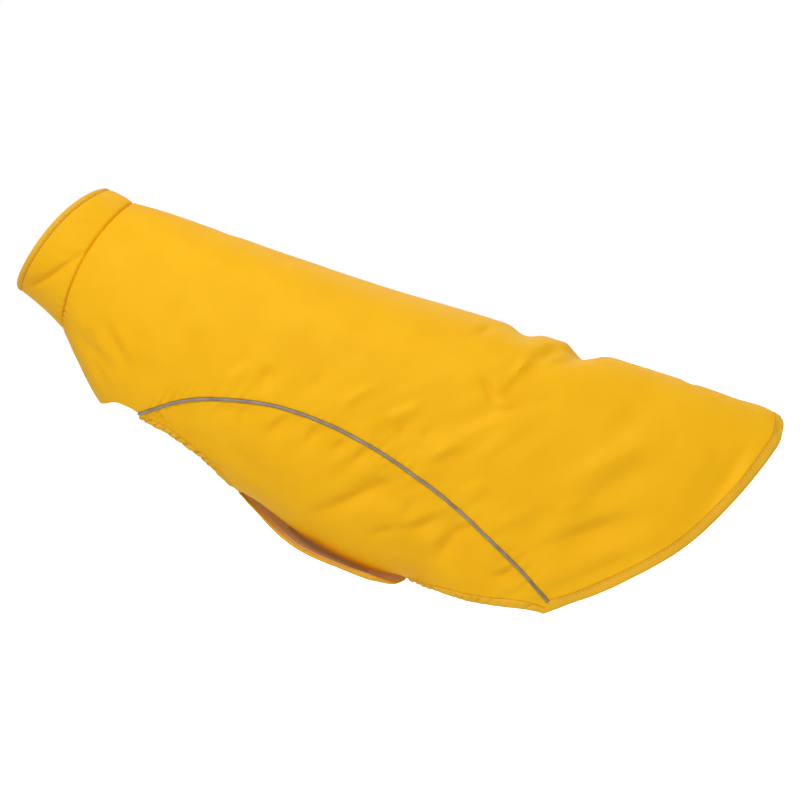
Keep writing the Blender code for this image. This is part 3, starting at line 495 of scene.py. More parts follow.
# ==== the form
class Form:
    """The worn shape of the cloth's outside, with the large folds."""

    quarter = np.linspace(0, pi / 2, 61)
    table = dict(zip(SECTION_COLUMNS, np.array(SECTIONS).T))

    @classmethod
    def at(cls, name, along):
        return smooth(cls.table["along"], cls.table[name], along)

    @classmethod
    def outline(cls, along):
        """Half sections: across (outwards), deep, and the distance round to each point."""
        along = np.asarray(along, float).ravel()
        sag, depth, width, widest, top, bottom = (
            cls.at(name, along)[:, None] for name in SECTION_COLUMNS[1:])
        s, c = np.sin(cls.quarter)[None], np.cos(cls.quarter)[None]
        upper = depth * widest - sag
        lower = depth * (1 - widest)
        across = np.hstack([width * s ** (2 / top), (width * c ** (2 / bottom))[:, 1:]])
        deep = np.hstack([sag + upper * (1 - c ** (2 / top)),
                          (sag + upper + lower * s ** (2 / bottom))[:, 1:]])
        across[:, -1] = 0
        steps = np.hypot(np.diff(across, axis=1), np.diff(deep, axis=1))
        travelled = np.hstack([np.zeros((len(along), 1)), np.cumsum(steps, axis=1)])
        return across, deep, travelled

    @staticmethod
    def read(x, xs, ys):
        """Straight-line reading of row i of the tables at x[i]."""
        row = np.arange(len(x))
        k = np.clip((xs <= x[:, None]).sum(1) - 1, 0, xs.shape[1] - 2)
        t = (x - xs[row, k]) / (xs[row, k + 1] - xs[row, k])
        return ys[row, k] + t * (ys[row, k + 1] - ys[row, k])

    @classmethod
    def half_girth(cls, along):
        """Distance round from the middle of the back to the middle of the belly."""
        along = np.asarray(along, float)
        return cls.outline(along)[2][:, -1].reshape(along.shape)

    @classmethod
    def round_at(cls, along, deep):
        """Distance round to where the section is so deep."""
        _, levels, travelled = cls.outline(along)
        return cls.read(np.minimum(deep, levels[:, -1] - 1e-6), levels, travelled)

    @classmethod
    def plain(cls, along, round_):
        """The form without folds. The far cloth runs on level past the belly's middle,
        as the flap, and the near cloth runs up the far side, as the tab."""
        across, deep, travelled = cls.outline(along)
        girth = travelled[:, -1]
        near = round_ >= 0
        past = np.abs(round_) - girth
        reach = np.where(past > 0, girth - past, np.abs(round_))
        out = cls.read(np.clip(reach, 0, girth - 1e-9), travelled, across)
        down = cls.read(np.clip(reach, 0, girth - 1e-9), travelled, deep)
        out = np.where(past > 0, -out, out)
        flap = (past > 0) & ~near
        out = np.where(flap, -past, out)
        rise = smooth(*zip(*FLAP_RISE), along)
        down = np.where(flap, deep[:, -1] - rise * ease(past, *FLAP_RISE_PAST), down)
        return np.stack([along, np.where(near, -out, out), down], 1)

    @classmethod
    def lift(cls, along, round_):
        """How far the far panel stands off the form to pass outside the near one's tab."""
        past = np.abs(round_) - cls.half_girth(along)
        lift = smooth(*zip(*FLAP_LIFT), along) * window(along, *FLAP_LIFT_FRONT, *FLAP_LIFT_REAR)
        return np.where(round_ < 0, lift * ease(past, *FLAP_LIFT_PAST), 0)

    @classmethod
    def sheet(cls, along, round_):
        """The form with its lift and folds."""
        out = outward(cls.plain, along, round_, 0.5)
        push = cls.lift(along, round_) - folded(along, round_)
        return cls.plain(along, round_) + out * push[:, None]


def outward(surface, along, round_, step):
    """Outward directions of a surface over the flat frame."""
    fore = surface(along + step, round_) - surface(along - step, round_)
    side = surface(along, round_ + step) - surface(along, round_ - step)
    return unit(np.cross(fore, side))


def beside_fold(fold, along, round_):
    """Distances to the side of a fold, in half widths, and how deep it is there."""
    start = np.array([fold["along_1"], fold["round_1"]], float)
    line = np.array([fold["along_2"], fold["round_2"]]) - start
    length = np.linalg.norm(line)
    line /= length
    here = np.stack([along, round_], 1) - start
    t = here @ line / length
    side = here @ np.array([-line[1], line[0]]) - fold["bow"] * 4 * t * (1 - t)
    swell = window(t, -FOLD_RUNS_ON, fold["share"], fold["share"], 1 + FOLD_RUNS_ON)
    return side / fold["half_width"], fold["depth"] * swell


def folded(along, round_):
    """How far the large folds push the cloth in."""
    push = np.zeros_like(along)
    for row in FOLDS:
        x, depth = beside_fold(dict(zip(FOLD_COLUMNS, row)), along, round_)
        push += depth * np.exp(-x * x) * (1 - FOLD_SHOULDER * x * x)
    return push


def creased(along, round_):
    """How far the creases push the cloth in. The far side's are read as in a mirror."""
    push = np.zeros_like(along)
    for row in CREASES:
        crease = dict(zip(CREASE_COLUMNS, row))
        mirror = -1 if crease["round_1"] + crease["round_2"] < 0 else 1
        crease.update(round_1=mirror * crease["round_1"], round_2=mirror * crease["round_2"])
        x, depth = beside_fold(crease, along, mirror * round_)
        x = np.where(x < 0, x / crease["lean"], x)
        reached = (np.abs(x) < 4) & (depth != 0)
        x, depth = x[reached], depth[reached]
        edge = (np.hypot(x - 1, CREASE_ROUND) + np.hypot(x + 1, CREASE_ROUND)
                - 2 * np.hypot(x, CREASE_ROUND)) / 2
        push[reached] += depth * edge
    return push


# ==== the cut, laid flat
def short_rows(rows):
    """Rows of along and short, as points of the flat frame on the near side."""
    rows = np.asarray(rows)
    return np.stack([rows[:, 0], Form.half_girth(rows[:, 0]) - rows[:, 1]], 1)


def side_rows(rows):
    """Rows of along and deep, as points of the flat frame on the near side."""
    rows = np.array(rows)
    return np.stack([rows[:, 0], Form.round_at(rows[:, 0], rows[:, 1])], 1)


def neck_seam(cells):
    """The neck seam's near half, from the nape to the throat."""
    deep = np.linspace(0, NECK_DEPTH, 200)
    along = -NECK_LEAN * (1 - (1 - deep / NECK_DEPTH) ** NECK_POWER)
    line = np.stack([along, Form.round_at(along, deep)], 1)
    line[0] = 0, 0
    line[-1, 1] = Form.half_girth(along[-1:])[0]
    return resample(line, cells)


def lower_path(reach, front_corner, rear_corner):
    """Leg edge, free end and belly edge of a side panel."""
    front, rear = (front_corner, -reach), (rear_corner, -reach)
    leg = through(short_rows(LEG_EDGE + (front,)), CELLS_LEG)
    end = short_rows(np.linspace(front, rear, CELLS_END + 1))
    belly = through(short_rows((rear,) + BELLY_EDGE[::-1]), CELLS_BELLY)
    return np.vstack([leg, end[1:-1], belly])


def trim_ends(strip):
    """Draw in both ends of a strip by half a seam gap."""
    for end, inner in ((0, 1), (-1, -2)):
        strip[end] += unit(strip[inner] - strip[end]) * SEAM_GAP / 2


SEAM = through(side_rows(PIPING), CELLS_PIPING)
HEM_LINE = through(HEM, CELLS_ROUND)
HEM_INNER = beside(HEM_LINE, -(HEM_WIDTH + SEAM_GAP))
NECK_LINE = neck_seam(60)


# ==== the cloth
def off_line(xs, ys, x, y):
    """How far below a sloping line places are, square to it."""
    return (np.interp(x, xs, ys) - y) / np.hypot(1, np.interp(x, xs, np.gradient(ys, xs)))


class Cloth:
    """The form with its creases, and with the puckers that the seams draw."""

    knots = np.random.default_rng(11).random((PATTERN, PATTERN)) * 2 - 1

    @classmethod
    def uneven(cls, x, y):
        """A smooth uneven surface, with about one swell or hollow to each unit of x and y."""
        i, j = np.floor(x).astype(int), np.floor(y).astype(int)
        s, t = ease(x - i, 0, 1), ease(y - j, 0, 1)
        corner = [[cls.knots[(i + a) % PATTERN, (j + b) % PATTERN] for b in (0, 1)]
                  for a in (0, 1)]
        return ((1 - s) * ((1 - t) * corner[0][0] + t * corner[0][1])
                + s * ((1 - t) * corner[1][0] + t * corner[1][1]))

    @classmethod
    def rumples(cls, along, round_):
        """Height of the small slack wrinkles, long ones that run down towards the collar.
        They gather beside the piping and the pinch, and the rest of the back is smooth."""
        level = np.abs(round_)
        away = level - np.interp(along, *SEAM.T)
        slack = (hump(away, SLACK_REACH) * ease(along, *SLACK_GROWS)
                 * (1 - 0.5 * ease(along, *SLACK_HALVES)))
        pinch = np.exp(-(((along - PINCH[0]) / PINCH_REACH[0]) ** 2
                         + ((level - PINCH[1]) / PINCH_REACH[1]) ** 2))
        least, by_piping, by_pinch = SLACK_SHARES
        slack = np.clip(least + by_piping * slack + by_pinch * pinch, 0, 1)
        turned = level + np.where(round_ < 0, FAR_RUMPLES, 0)
        down, over = (turned - along) * DIAGONAL, (turned + along) * DIAGONAL
        bend, length = RUMPLE_BEND
        over = over + bend * cls.uneven(down / length, over / length)
        return slack * sum(height * cls.uneven(down / length + first, over / width + second)
                           for height, length, width, first, second in RUMPLES)

    @staticmethod
    def waves(run, away, columns, phase):
        """Uneven puckers along a seam: none on it, highest a little way off."""
        pitch, height, reach, slant, other = columns
        run = run - slant * away + phase * 3.1
        turn = 2 * pi * swung(run / pitch, run, (0.42, 17, 0), (0.30, 7.7, 1 + phase))
        uneven = swung(0.3, run, (0.34, 9.3, phase), (0.34, 23, 2 * phase))
        height = height * np.where(away < 0, other, 1) * np.maximum(uneven, 0.02) * 1.5
        far = np.abs(away) / reach
        return height * np.sin(turn) * far * np.exp(1 - far) * hump(far, 4.5)

    @classmethod
    def puckers(cls, along, round_):
        """Height of the puckers over the cloth."""
        phase = np.where(round_ < 0, 1.7, 0.0)
        level = np.abs(round_)
        away = off_line(*SEAM.T, along, level)
        run = np.interp(along, SEAM[:, 0], lengths(SEAM))
        high = (cls.waves(run, away, PIPING_PUCKERS, phase)
                * window(along, *PIPING_PUCKERS_RUN))
        away = along - np.interp(level, NECK_LINE[:, 1], NECK_LINE[:, 0])
        high += cls.waves(level, away, NECK_PUCKERS, phase + 1) * (away > -1)
        away = off_line(HEM_INNER[:, 1], HEM_INNER[:, 0], level, along)
        return high + cls.waves(level, away, HEM_PUCKERS, phase + 2) * (away < 40)

    @classmethod
    def worn(cls, flat):
        """Worn places of flat points and the outward directions there."""
        shape = flat.shape[:-1]
        along, round_ = flat.reshape(-1, 2).T
        out = outward(Form.sheet, along, round_, 1.0)
        high = cls.puckers(along, round_) + cls.rumples(along, round_) - creased(along, round_)
        here = Form.sheet(along, round_) + out * high[:, None]
        return here.reshape(*shape, 3), out.reshape(*shape, 3)


def to_world(points):
    """Coat frame in mm to the part's frame in metres."""
    seat = float(Form.at("sag", HELD_AT)) + WALL
    along = points[..., 0] - HELD_AT
    deep = points[..., 2] - seat
    return MM * np.stack([along * cos(BACK_SLOPE) - deep * sin(BACK_SLOPE), points[..., 1],
                          -along * sin(BACK_SLOPE) - deep * cos(BACK_SLOPE)], -1)


# ==== finishes
def linear(red, green, blue):
    """A colour as a screen shows it, 0 to 255, in the renderer's own light values."""
    share = np.array([red, green, blue]) / 255
    return (*np.where(share <= 0.04045, share / 12.92, ((share + 0.055) / 1.055) ** 2.4), 1.0)


class Finish:
    """A material that is built up node by node."""

    def __init__(self, name, roughness, **sockets):
        self.material = bpy.data.materials.new(name)
        self.material.use_nodes = True
        self.nodes = self.material.node_tree.nodes
        self.links = self.material.node_tree.links
        self.shader = self.nodes["Principled BSDF"]
        self.shader.inputs["Roughness"].default_value = roughness
        for socket, value in sockets.items():
            self.shader.inputs[socket.replace("_", " ")].default_value = value

    def node(self, kind, inputs=(), **settings):
        made = self.nodes.new("ShaderNode" + kind)
        for key, value in settings.items():
            setattr(made, key, value)
        for socket, value in dict(inputs).items():
            if isinstance(value, bpy.types.NodeSocket):
                self.links.new(value, made.inputs[socket])
            else:
                made.inputs[socket].default_value = value
        return made

    def cut(self):
        """Places on the flat cut, in metres."""
        return self.node("UVMap", uv_map="cut").outputs["UV"]

    def solid(self):
        """Places in the part's frame, in metres."""
        return self.node("TexCoord").outputs["Object"]

    def noise(self, place, scale, detail=2.0):
        """Clouds or grains, about so many to the metre."""
        return self.node("TexNoise", {"Vector": place, "Scale": scale,
                                      "Detail": detail}).outputs["Fac"]

    def bands(self, place, pitch, direction, distortion=0.0):
        """Ridges a pitch apart, in metres."""
        return self.node("TexWave", {"Vector": place, "Scale": 2 * pi / 20 / pitch,
                                     "Distortion": distortion, "Detail": 1.0},
                         bands_direction=direction).outputs["Fac"]

    def sum(self, first, second, share=1.0):
        """The first value and a share of the second."""
        return self.node("Math", {0: second, 1: share, 2: first},
                         operation="MULTIPLY_ADD").outputs[0]

    def colour(self, value, *stops):
        """Two colours along a value: each stop is a place from 0 to 1 and a colour."""
        ramp = self.node("ValToRGB", {"Fac": value})
        for element, (place, shade) in zip(ramp.color_ramp.elements, stops):
            element.position, element.color = place, shade
        self.links.new(ramp.outputs["Color"], self.shader.inputs["Base Color"])

    def relief(self, *layers):
        """Bumps on bumps: each layer is a height, its depth in metres and its strength."""
        normal = None
        for height, depth, strength in layers:
            inputs = {"Height": height, "Distance": depth, "Strength": strength}
            if normal is not None:
                inputs["Normal"] = normal
            normal = self.node("Bump", inputs).outputs["Normal"]
        self.links.new(normal, self.shader.inputs["Normal"])


def shell_finish(name, light, dark):
    """Plain-woven shell cloth."""
    finish = Finish(name, 0.55, Specular_IOR_Level=0.10)
    cut, solid = finish.cut(), finish.solid()
    clouds = finish.noise(solid, 38.0, 3.0)
    fine = finish.noise(solid, 900.0, 2.0)
    tone = finish.sum(clouds, fine, 0.25)
    finish.colour(tone, (0.35, linear(*dark)), (0.85, linear(*light)))
    weave = finish.sum(finish.bands(cut, 0.00060, "X"), finish.bands(cut, 0.00060, "Y"))
    drape = finish.noise(solid, 95.0, 2.0)
    finish.relief((drape, 0.0006, 0.25), (weave, 0.00010, 0.35))
    return finish.material


def knit_finish(name, light, dark, through=0.0):
    """Tan knit with fine diagonal ribs. Through sets a painted glow: the knit gives off its own
    light tan, which lightens it where it lies in shade.
    """
    # The emission is painted light: a light tan glow that brightens the knit in shaded hollows.
    finish = Finish(name, 0.85, Sheen_Weight=0.25, Sheen_Roughness=0.6, Specular_IOR_Level=0.2,
                    Emission_Color=linear(*light), Emission_Strength=through)
    cut = finish.cut()
    turned = finish.node("Mapping", {"Vector": cut, "Rotation": (0, 0, radians(38))}).outputs[0]
    ribs = finish.bands(turned, 0.0013, "X", 0.4)
    loops = finish.bands(turned, 0.0009, "Y", 0.6)
    knit = finish.sum(ribs, loops, 0.5)
    clouds = finish.noise(finish.solid(), 60.0, 3.0)
    tone = finish.sum(clouds, knit, 0.35)
    finish.colour(tone, (0.35, linear(*dark)), (1.0, linear(*light)))
    finish.relief((knit, 0.00025, 0.8))
    return finish.material


def piping_finish(name):
    """Grey reflective strand, with its fine beaded cloth."""
    finish = Finish(name, 0.6, Specular_IOR_Level=0.3)
    solid = finish.solid()
    beads = finish.noise(solid, 2600.0, 1.0)
    clouds = finish.noise(solid, 120.0, 2.0)
    finish.colour(finish.sum(clouds, beads, 0.3),
                  (0.35, linear(124, 114, 109)), (0.95, linear(170, 160, 154)))
    finish.relief((beads, 0.00008, 0.4))
    return finish.material


def thread_finish(name, light, dark):
    """Twisted sewing thread."""
    finish = Finish(name, 0.6, Sheen_Weight=0.2)
    twist = finish.noise(finish.solid(), 2200.0, 1.0)
    finish.colour(twist, (0.3, linear(*dark)), (0.7, linear(*light)))
    finish.relief((twist, 0.0001, 0.4))
    return finish.material


def patch_finish(name, pitch, depth):
    """Hooks or loops of the closure, as a pile, with a painted glow in tan that brightens it in
    the shaded gap.
    """
    # The emission is painted light, a faint tan glow.
    finish = Finish(name, 0.9, Emission_Color=linear(*TAN), Emission_Strength=0.2)
    solid = finish.solid()
    pile = finish.node("TexVoronoi", {"Vector": solid, "Scale": 1 / pitch}).outputs["Distance"]
    finish.colour(pile, (0.0, linear(186, 138, 80)), (0.7, linear(150, 104, 54)))
    finish.relief((pile, depth, 0.3))
    return finish.material


# Colours are as a screen shows them.
TAN, DARK_TAN = (206, 156, 92), (182, 132, 70)
SHELL = shell_finish("yellow_shell_cloth", (252, 190, 22), (247, 183, 16))
# The lining and the backing are the same tan knit with a painted glow, stronger on the lining
# (0.30) than on the backing (0.12), which brightens them where they lie in shade.
LINING_PAINTED_GLOW = knit_finish("tan_knit_lining_painted_glow", TAN, DARK_TAN, 0.30)
EDGE = shell_finish("yellow_edge_cloth", (244, 186, 48), (236, 176, 38))
BACKING_PAINTED_GLOW = knit_finish("tan_knit_backing_painted_glow", TAN, DARK_TAN, 0.12)
PIPING_GREY = piping_finish("grey_reflective_piping")
THREAD = thread_finish("amber_thread", (214, 158, 44), (182, 130, 34))
PILES = (("loop_patch", 0.0009, 0.0006), ("hook_patch", 0.0014, 0.0005))  # pitch, depth (m)


# ==== meshes
def grid_faces(rows, columns, closed):
    """Corners of the grid's cells. On a ring the last row's cells come back to row 0."""
    first = (np.arange(rows if closed else rows - 1)[:, None] * columns
             + np.arange(columns - 1)[None])
    return np.stack([first, first + 1, first + columns + 1, first + columns],
                    -1).reshape(-1, 4)


def put_in(name, mesh):
    """An object with the mesh, in the part's frame."""
    piece = bpy.data.objects.new(name, mesh)
    bpy.context.collection.objects.link(piece)
    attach(piece, "root")
    return piece


def add_piece(name, points, faces, node, finishes, uv=None, which=None):
    """A mesh object that stands for a CAD node, with its faces turned outwards."""
    mesh = bpy.data.meshes.new(name)
    mesh.from_pydata(to_world(points).tolist(), [], faces.tolist())
    for finish in finishes:
        mesh.materials.append(finish)
    if which is not None:
        mesh.polygons.foreach_set("material_index", which.astype(np.int32))
    if uv is not None:
        layer = mesh.uv_layers.new(name="cut")
        layer.data.foreach_set("uv", (uv * MM).astype(np.float32).ravel())
    a, b, c, d = points[faces].swapaxes(0, 1)
    volume = sum((a * np.cross(p, q)).sum() for p, q in ((b, c), (c, d)))
    if volume < 0:
        mesh.flip_normals()
    mesh.shade_smooth()
    mesh.set_sharp_from_angle(angle=radians(55))
    piece = put_in(name, mesh)
    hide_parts(node)
    return piece


def add_wall(name, outside, inside, flat, node, finishes, closed=False, turned=0):
    """A closed sheet of cloth between two grids. flat is each point's place on the cut;
    a ring's has one more row, where it comes round. The inside face has the second finish,
    short of so many turned columns at its last edge."""
    rows, columns = outside.shape[:2]
    under = rows * columns
    top = grid_faces(rows, columns, closed)
    spans = rows if closed else rows - 1
    ahead, back = [0, 1], [1, 0]
    sides = [(0, columns, spans, ahead), (columns - 1, columns, spans, back)]
    if not closed:
        sides += [(0, 1, columns - 1, back), (under - columns, 1, columns - 1, ahead)]
    rim = np.concatenate([start + step * (np.arange(count)[:, None] + turn)
                          for start, step, count, turn in sides])
    faces = np.vstack([top % under, under + top[:, ::-1] % under,
                       np.hstack([rim % under, under + rim[:, ::-1] % under])])
    cut = flat.reshape(-1, 2)
    uv = np.vstack([cut[top].reshape(-1, 2), cut[top[:, ::-1]].reshape(-1, 2),
                    cut[rim[:, [0, 1, 1, 0]]].reshape(-1, 2)])
    which = np.zeros(len(faces))
    if len(finishes) > 1:
        cells = np.tile(np.arange(columns - 1), len(top) // (columns - 1))
        which[len(top):2 * len(top)] = cells < columns - 1 - turned
    points = np.vstack([outside.reshape(-1, 3), inside.reshape(-1, 3)])
    return add_piece(name, points, faces, node, finishes, uv, which)


def rolled(flat, sides, depth, reach):
    """How far the cloth dips where it turns in at the sides that are named."""
    dip = np.zeros(flat.shape[:2])
    for axis, line in enumerate(("row", "column")):
        steps = np.linalg.norm(np.diff(flat, axis=axis), axis=2)
        travelled = np.insert(np.cumsum(steps, axis=axis), 0, 0, axis=axis)
        total = travelled.take([-1], axis=axis)
        for name, distance in (("first_", travelled), ("last_", total - travelled)):
            if name + line in sides:
                dip = np.maximum(dip, hump(distance, reach, depth))
    return dip[..., None]


def closed_up(place):
    """Places of a strip's inside, with the first column drawn up to the next piece."""
    near = place.copy()
    near[:, 0] += unit(place[:, 0] - place[:, 1]) * 0.8 * SEAM_GAP
    return near


def across_strip(lines, shares):
    """Points from a strip's inner line to its outer one."""
    t = shares[None, :, None]
    return lines[:, :1] * (1 - t) + lines[:, 1:] * t


def add_strip(name, flat, worn, high, groove, rolls, wall, node, finishes, turned=0):
    """A turned strip that stands so high above the cloth, rolled at both edges."""
    place, out = worn
    dip = rolled(flat, ("first_column",), *rolls[0]) + rolled(flat, ("last_column",), *rolls[1])
    return add_wall(name, place + (high - groove - dip) * out,
                    closed_up(place) + (high - wall + STRIP_ROLL_INSIDE * dip) * out,
                    flat, node, finishes, turned=turned)


def declare(piece, width, length, area, held, rests_on=()):
    """Takes the cut of a piece of cloth, in millimetres, and keeps none of it; the piece comes
    back as it was.
    """
    return piece


# ---- back panel
def make_back_panel():
    """Cut on the fold along the back, from neck to tail, closed down the centre front."""
    above_seam = beside(SEAM, PIPING_ROOM)
    front_rows = places(CELLS_FRONT, STEPS_ALONG, first=True)
    front_along = np.linspace(-NECK_LEAN, CHEST_POINT, CELLS_FRONT + 1)
    front = np.stack([front_along, Form.half_girth(front_along)], 1)
    chest = through(short_rows(CHEST_EDGE), CELLS_CHEST)
    chest[-1] = above_seam[0]
    bottom = np.vstack([refine(front, front_rows),
                        refine(chest, places(CELLS_CHEST, STEPS_ALONG))[1:],
                        refine(above_seam, places(CELLS_PIPING, STEPS_ALONG, last=True))[1:]])
    down = places(CELLS_ROUND, STEPS_ROUND, last=True)
    right = refine(np.vstack([HEM_INNER[:-1], above_seam[-1:]]), down)
    share = lengths(bottom) / lengths(bottom)[-1]
    top = np.stack([share * right[0, 0], 0 * share], 1)
    near = coons(top, bottom, refine(neck_seam(CELLS_ROUND), down), right)
    flat = np.concatenate([to_side(near, -1)[:, :0:-1], near], axis=1)
    place, out = Cloth.worn(flat)
    dip = rolled(flat, ("last_row", "first_column", "last_column"), *PANEL_ROLL)
    outside = place - np.maximum(dip, rolled(flat, ("first_row",), *NECK_ROLL)) * out
    inside = place - (WALL - ROLL_INSIDE * dip) * out
    for grid, gap in ((outside, SEAM_GAP / 2), (inside, FRONT_SEAM_SHUT)):
        grid[:len(front_rows), 0, 1] = gap
        grid[:len(front_rows), -1, 1] = -gap
    piece = add_wall("back_panel_cloth", outside, inside, flat, "back_panel",
                     (SHELL, BACKING_PAINTED_GLOW))
    declare(piece, *CUTS[piece.name], "draped")


# ---- side panels
def side_lines(reach, front_corner, rear_corner):
    """A side panel's seam and outer edge, and the casings' and its own line inside that."""
    below_seam = beside(SEAM, -PIPING_ROOM)
    path = lower_path(reach, front_corner, rear_corner)
    room = np.linalg.norm(below_seam - path, axis=1)
    widths = np.minimum(CASING_WIDTH, CASING_SHARE * room)
    return below_seam, path, beside(path, widths), beside(path, widths + SEAM_GAP)


def make_side(side, sign, reach, front_corner, rear_corner, end_wall):
    """A side panel from the piping down round the belly, with its casings and end."""
    below_seam, path, inner, edge = side_lines(reach, front_corner, rear_corner)
    corners = (0, CELLS_LEG, CELLS_LEG + CELLS_END, CELLS_PIPING)
    stretches = list(zip(corners, corners[1:]))
    seam = refine(below_seam, places(CELLS_PIPING, STEPS_ALONG))
    bottom = np.vstack([refine(edge[a:b + 1], places(b - a, STEPS_ALONG))[(a > 0):]
                        for a, b in stretches])
    down = places(CELLS_SIDE, STEPS_SIDE, first=True, last=True) / CELLS_SIDE
    ends = [seam[k] * (1 - down[:, None]) + bottom[k] * down[:, None] for k in (0, -1)]
    flat = to_side(coons(seam, bottom, *ends), sign)
    place, out = Cloth.worn(flat)
    run = lengths(bottom)[:, None]
    away = np.linalg.norm(flat - flat[:, -1:], axis=2)
    drawn = held_edge(bottom) * from_ends(run, GATHERS_FADE) * (1.0 if sign > 0 else FAR_GATHERS)
    place += out * (Cloth.waves(run, away, GATHERS, 0.4 * sign) * drawn)[..., None]
    dip = rolled(flat, ("first_column", "last_column"), *PANEL_ROLL)
    panel = add_wall(f"side_panel_{side}_cloth", place - dip * out,
                     place - (WALL - ROLL_INSIDE * dip) * out, flat, "side_panel_" + side,
                     (SHELL, BACKING_PAINTED_GLOW if sign > 0 else LINING_PAINTED_GLOW))
    declare(panel, *CUTS[panel.name], "hung", ["back_panel_cloth"])
    for (a, b), name, wall, amount in zip(
            stretches, ("leg_casing_", "strap_end_", "belly_casing_"),
            (CASING_WALL, end_wall, CASING_WALL), (1, 0, 1)):
        make_casing(name + side, inner[a:b + 1], path[a:b + 1], wall, sign, amount)


def past_middle(flat):
    """How far flat points lie past the middle of the belly."""
    shape = flat.shape[:-1]
    return (flat[..., 1].ravel() - Form.half_girth(flat[..., 0].ravel())).reshape(shape)


def held_edge(line):
    """How strongly the elastic draws up an edge. Past the belly's middle it lies flat."""
    return ease(-past_middle(line), *LIES_FLAT)[:, None]


def from_ends(run, reach):
    """0 at both ends of a run and 1 further in than the reach."""
    return np.minimum(1, np.minimum(run, run[-1] - run) / reach)


def make_casing(name, inner, path, wall, sign, amount):
    """A turned edge with elastic in it, which draws the cloth up into small waves."""
    strip = np.stack([inner, path], 1)
    trim_ends(strip)
    lines = refine(strip, places(len(strip) - 1, STEPS_CASING))
    flat = to_side(across_strip(lines, CASING_ACROSS), sign)
    run = lengths(lines[:, 1])[:, None]
    across = CASING_ACROSS[None]
    turn = swung(run / 6.4 + 0.55 * across, run, (0.3, 13, 0), (0.2, 5.1, sign))
    slow = swung(run / 13.5 - 0.3 * across, run, (0.4, 31, sign))
    fold = hump(turn % 1 - 0.5, 0.16, 2.0) * swung(0.75, run, (0.30, 8.3, 2), (0.25, 21, 0))
    waves = 0.3 - fold + 0.3 * np.sin(2 * pi * slow)
    waves *= 0.4 * ease(across, 0, 0.25) + 0.6 * np.sin(pi * across ** 0.8)
    waves *= from_ends(run, CASING_FADE) * (0.08 + 0.92 * held_edge(lines[:, 1])) * amount
    piece = add_strip(name + "_cloth", flat, Cloth.worn(flat), (CASING_PROUD + waves)[..., None],
                      0, CASING_ROLLS, wall, name, (EDGE, BACKING_PAINTED_GLOW if sign > 0 else LINING_PAINTED_GLOW),
                      turned=4 if sign > 0 else 3)
    length = float(lengths(lines.mean(1))[-1])
    declare(piece, 2 * CASING_WIDTH + 1, length * GATHERED_LONGER,
            (CASING_WIDTH + CASING_WALL) * length, "gathered",
            [f"side_panel_{name.split('_')[-1]}_cloth"])


# ---- piping
def make_piping(side, sign):
    """The reflective strand in the seam, from the leg edge to the rear hem."""
    steps = places(CELLS_PIPING, STEPS_ALONG)
    line = to_side(refine(SEAM, steps), sign)
    place, up = Cloth.worn(line)
    run = lengths(line)
    wobble = swung(0, run, (0.10, 2.3, 0), (0.12, 5.9, sign))
    centres = place + up * (PIPING_LIFT + wobble)[:, None]
    ahead = unit(np.gradient(centres, axis=0))
    right = unit(np.cross(ahead, up))
    tall = np.cross(right, ahead)
    turn = np.linspace(-0.1, 1.1, PIPING_SIDES - 4)[None, :, None] * pi
    thick = PIPING_SHOWN * (1 - 0.3 * (ease(-run, -1, 0) + ease(run - run[-1], -1, 0)))
    strand = centres[:, None] + thick[:, None, None] * (
        np.cos(turn) * right[:, None] + np.sin(turn) * tall[:, None])
    flange = []
    for way, depth in ((-1, FLANGE_TOP), (-1, FLANGE_FOOT), (1, FLANGE_FOOT), (1, FLANGE_TOP)):
        edge = refine(beside(SEAM, way * PIPING_FLANGE), steps)
        flange.append(Cloth.worn(to_side(edge, sign))[0] - up * depth)
    if np.sum((flange[0] - centres) * right) > 0:
        flange = flange[::-1]
    rings = np.concatenate([strand, np.stack(flange, 1)], axis=1)
    i = np.arange(len(line) - 1)[:, None] * PIPING_SIDES
    k = np.arange(PIPING_SIDES)
    after = (k + 1) % PIPING_SIDES
    faces = np.stack([i + k, i + after, i + PIPING_SIDES + after, i + PIPING_SIDES + k],
                     -1).reshape(-1, 4)
    count = len(line) * PIPING_SIDES
    cap = np.stack([k, after, np.roll(after, -1)], 1)[::2]
    foot = np.hstack([cap, np.full((len(cap), 1), count)])[:, ::-1]
    head = np.hstack([cap + count - PIPING_SIDES, np.full((len(cap), 1), count + 1)])
    add_piece(f"piping_{side}_strand", np.vstack([rings.reshape(-1, 3), centres[[0, -1]]]),
              np.vstack([faces, foot, head]), "piping_" + side, (PIPING_GREY,))


# ---- rear hem
def hem_lines():
    """The hem strip's inner and outer line, from the far end to the near one."""
    inner = beside(HEM_LINE, -HEM_WIDTH)
    near = np.stack([inner, HEM_LINE], 1)
    near[-1] = HEM_END[0], HEM_END[-1]
    both = np.concatenate([to_side(near, -1)[:0:-1], near])
    return refine(both, places(2 * CELLS_ROUND, STEPS_HEM))


def make_rear_hem():
    """One topstitched strip from piping to piping, round the tail."""
    lines = hem_lines()
    flat = across_strip(lines, HEM_ACROSS)
    end = np.array(HEM_END)
    flat[-1] = read_line(end, lengths(end) / lengths(end)[-1], HEM_ACROSS)
    flat[0] = to_side(flat[-1], -1)
    run = lengths(lines[:, 1])[:, None]
    across = HEM_ACROSS[None]
    turn = swung(run / 6.4 - 0.35 * across, run, (0.35, 19, 0))
    high = (HEM_PROUD + 0.16 * np.sin(2 * pi * turn) * swung(0.6, run, (0.4, 13, 0)))[..., None]
    groove = hump(across - HEM_STITCH, 0.06, 0.14)[..., None]
    piece = add_strip("rear_hem_strip", flat, Cloth.worn(flat), high, groove, HEM_ROLLS,
                      HEM_WALL, "rear_hem", (EDGE,))
    length = float(run[-1, 0])
    declare(piece, 2 * HEM_WIDTH, length, (HEM_WIDTH + HEM_WALL) * length, "folded",
            ["back_panel_cloth"])


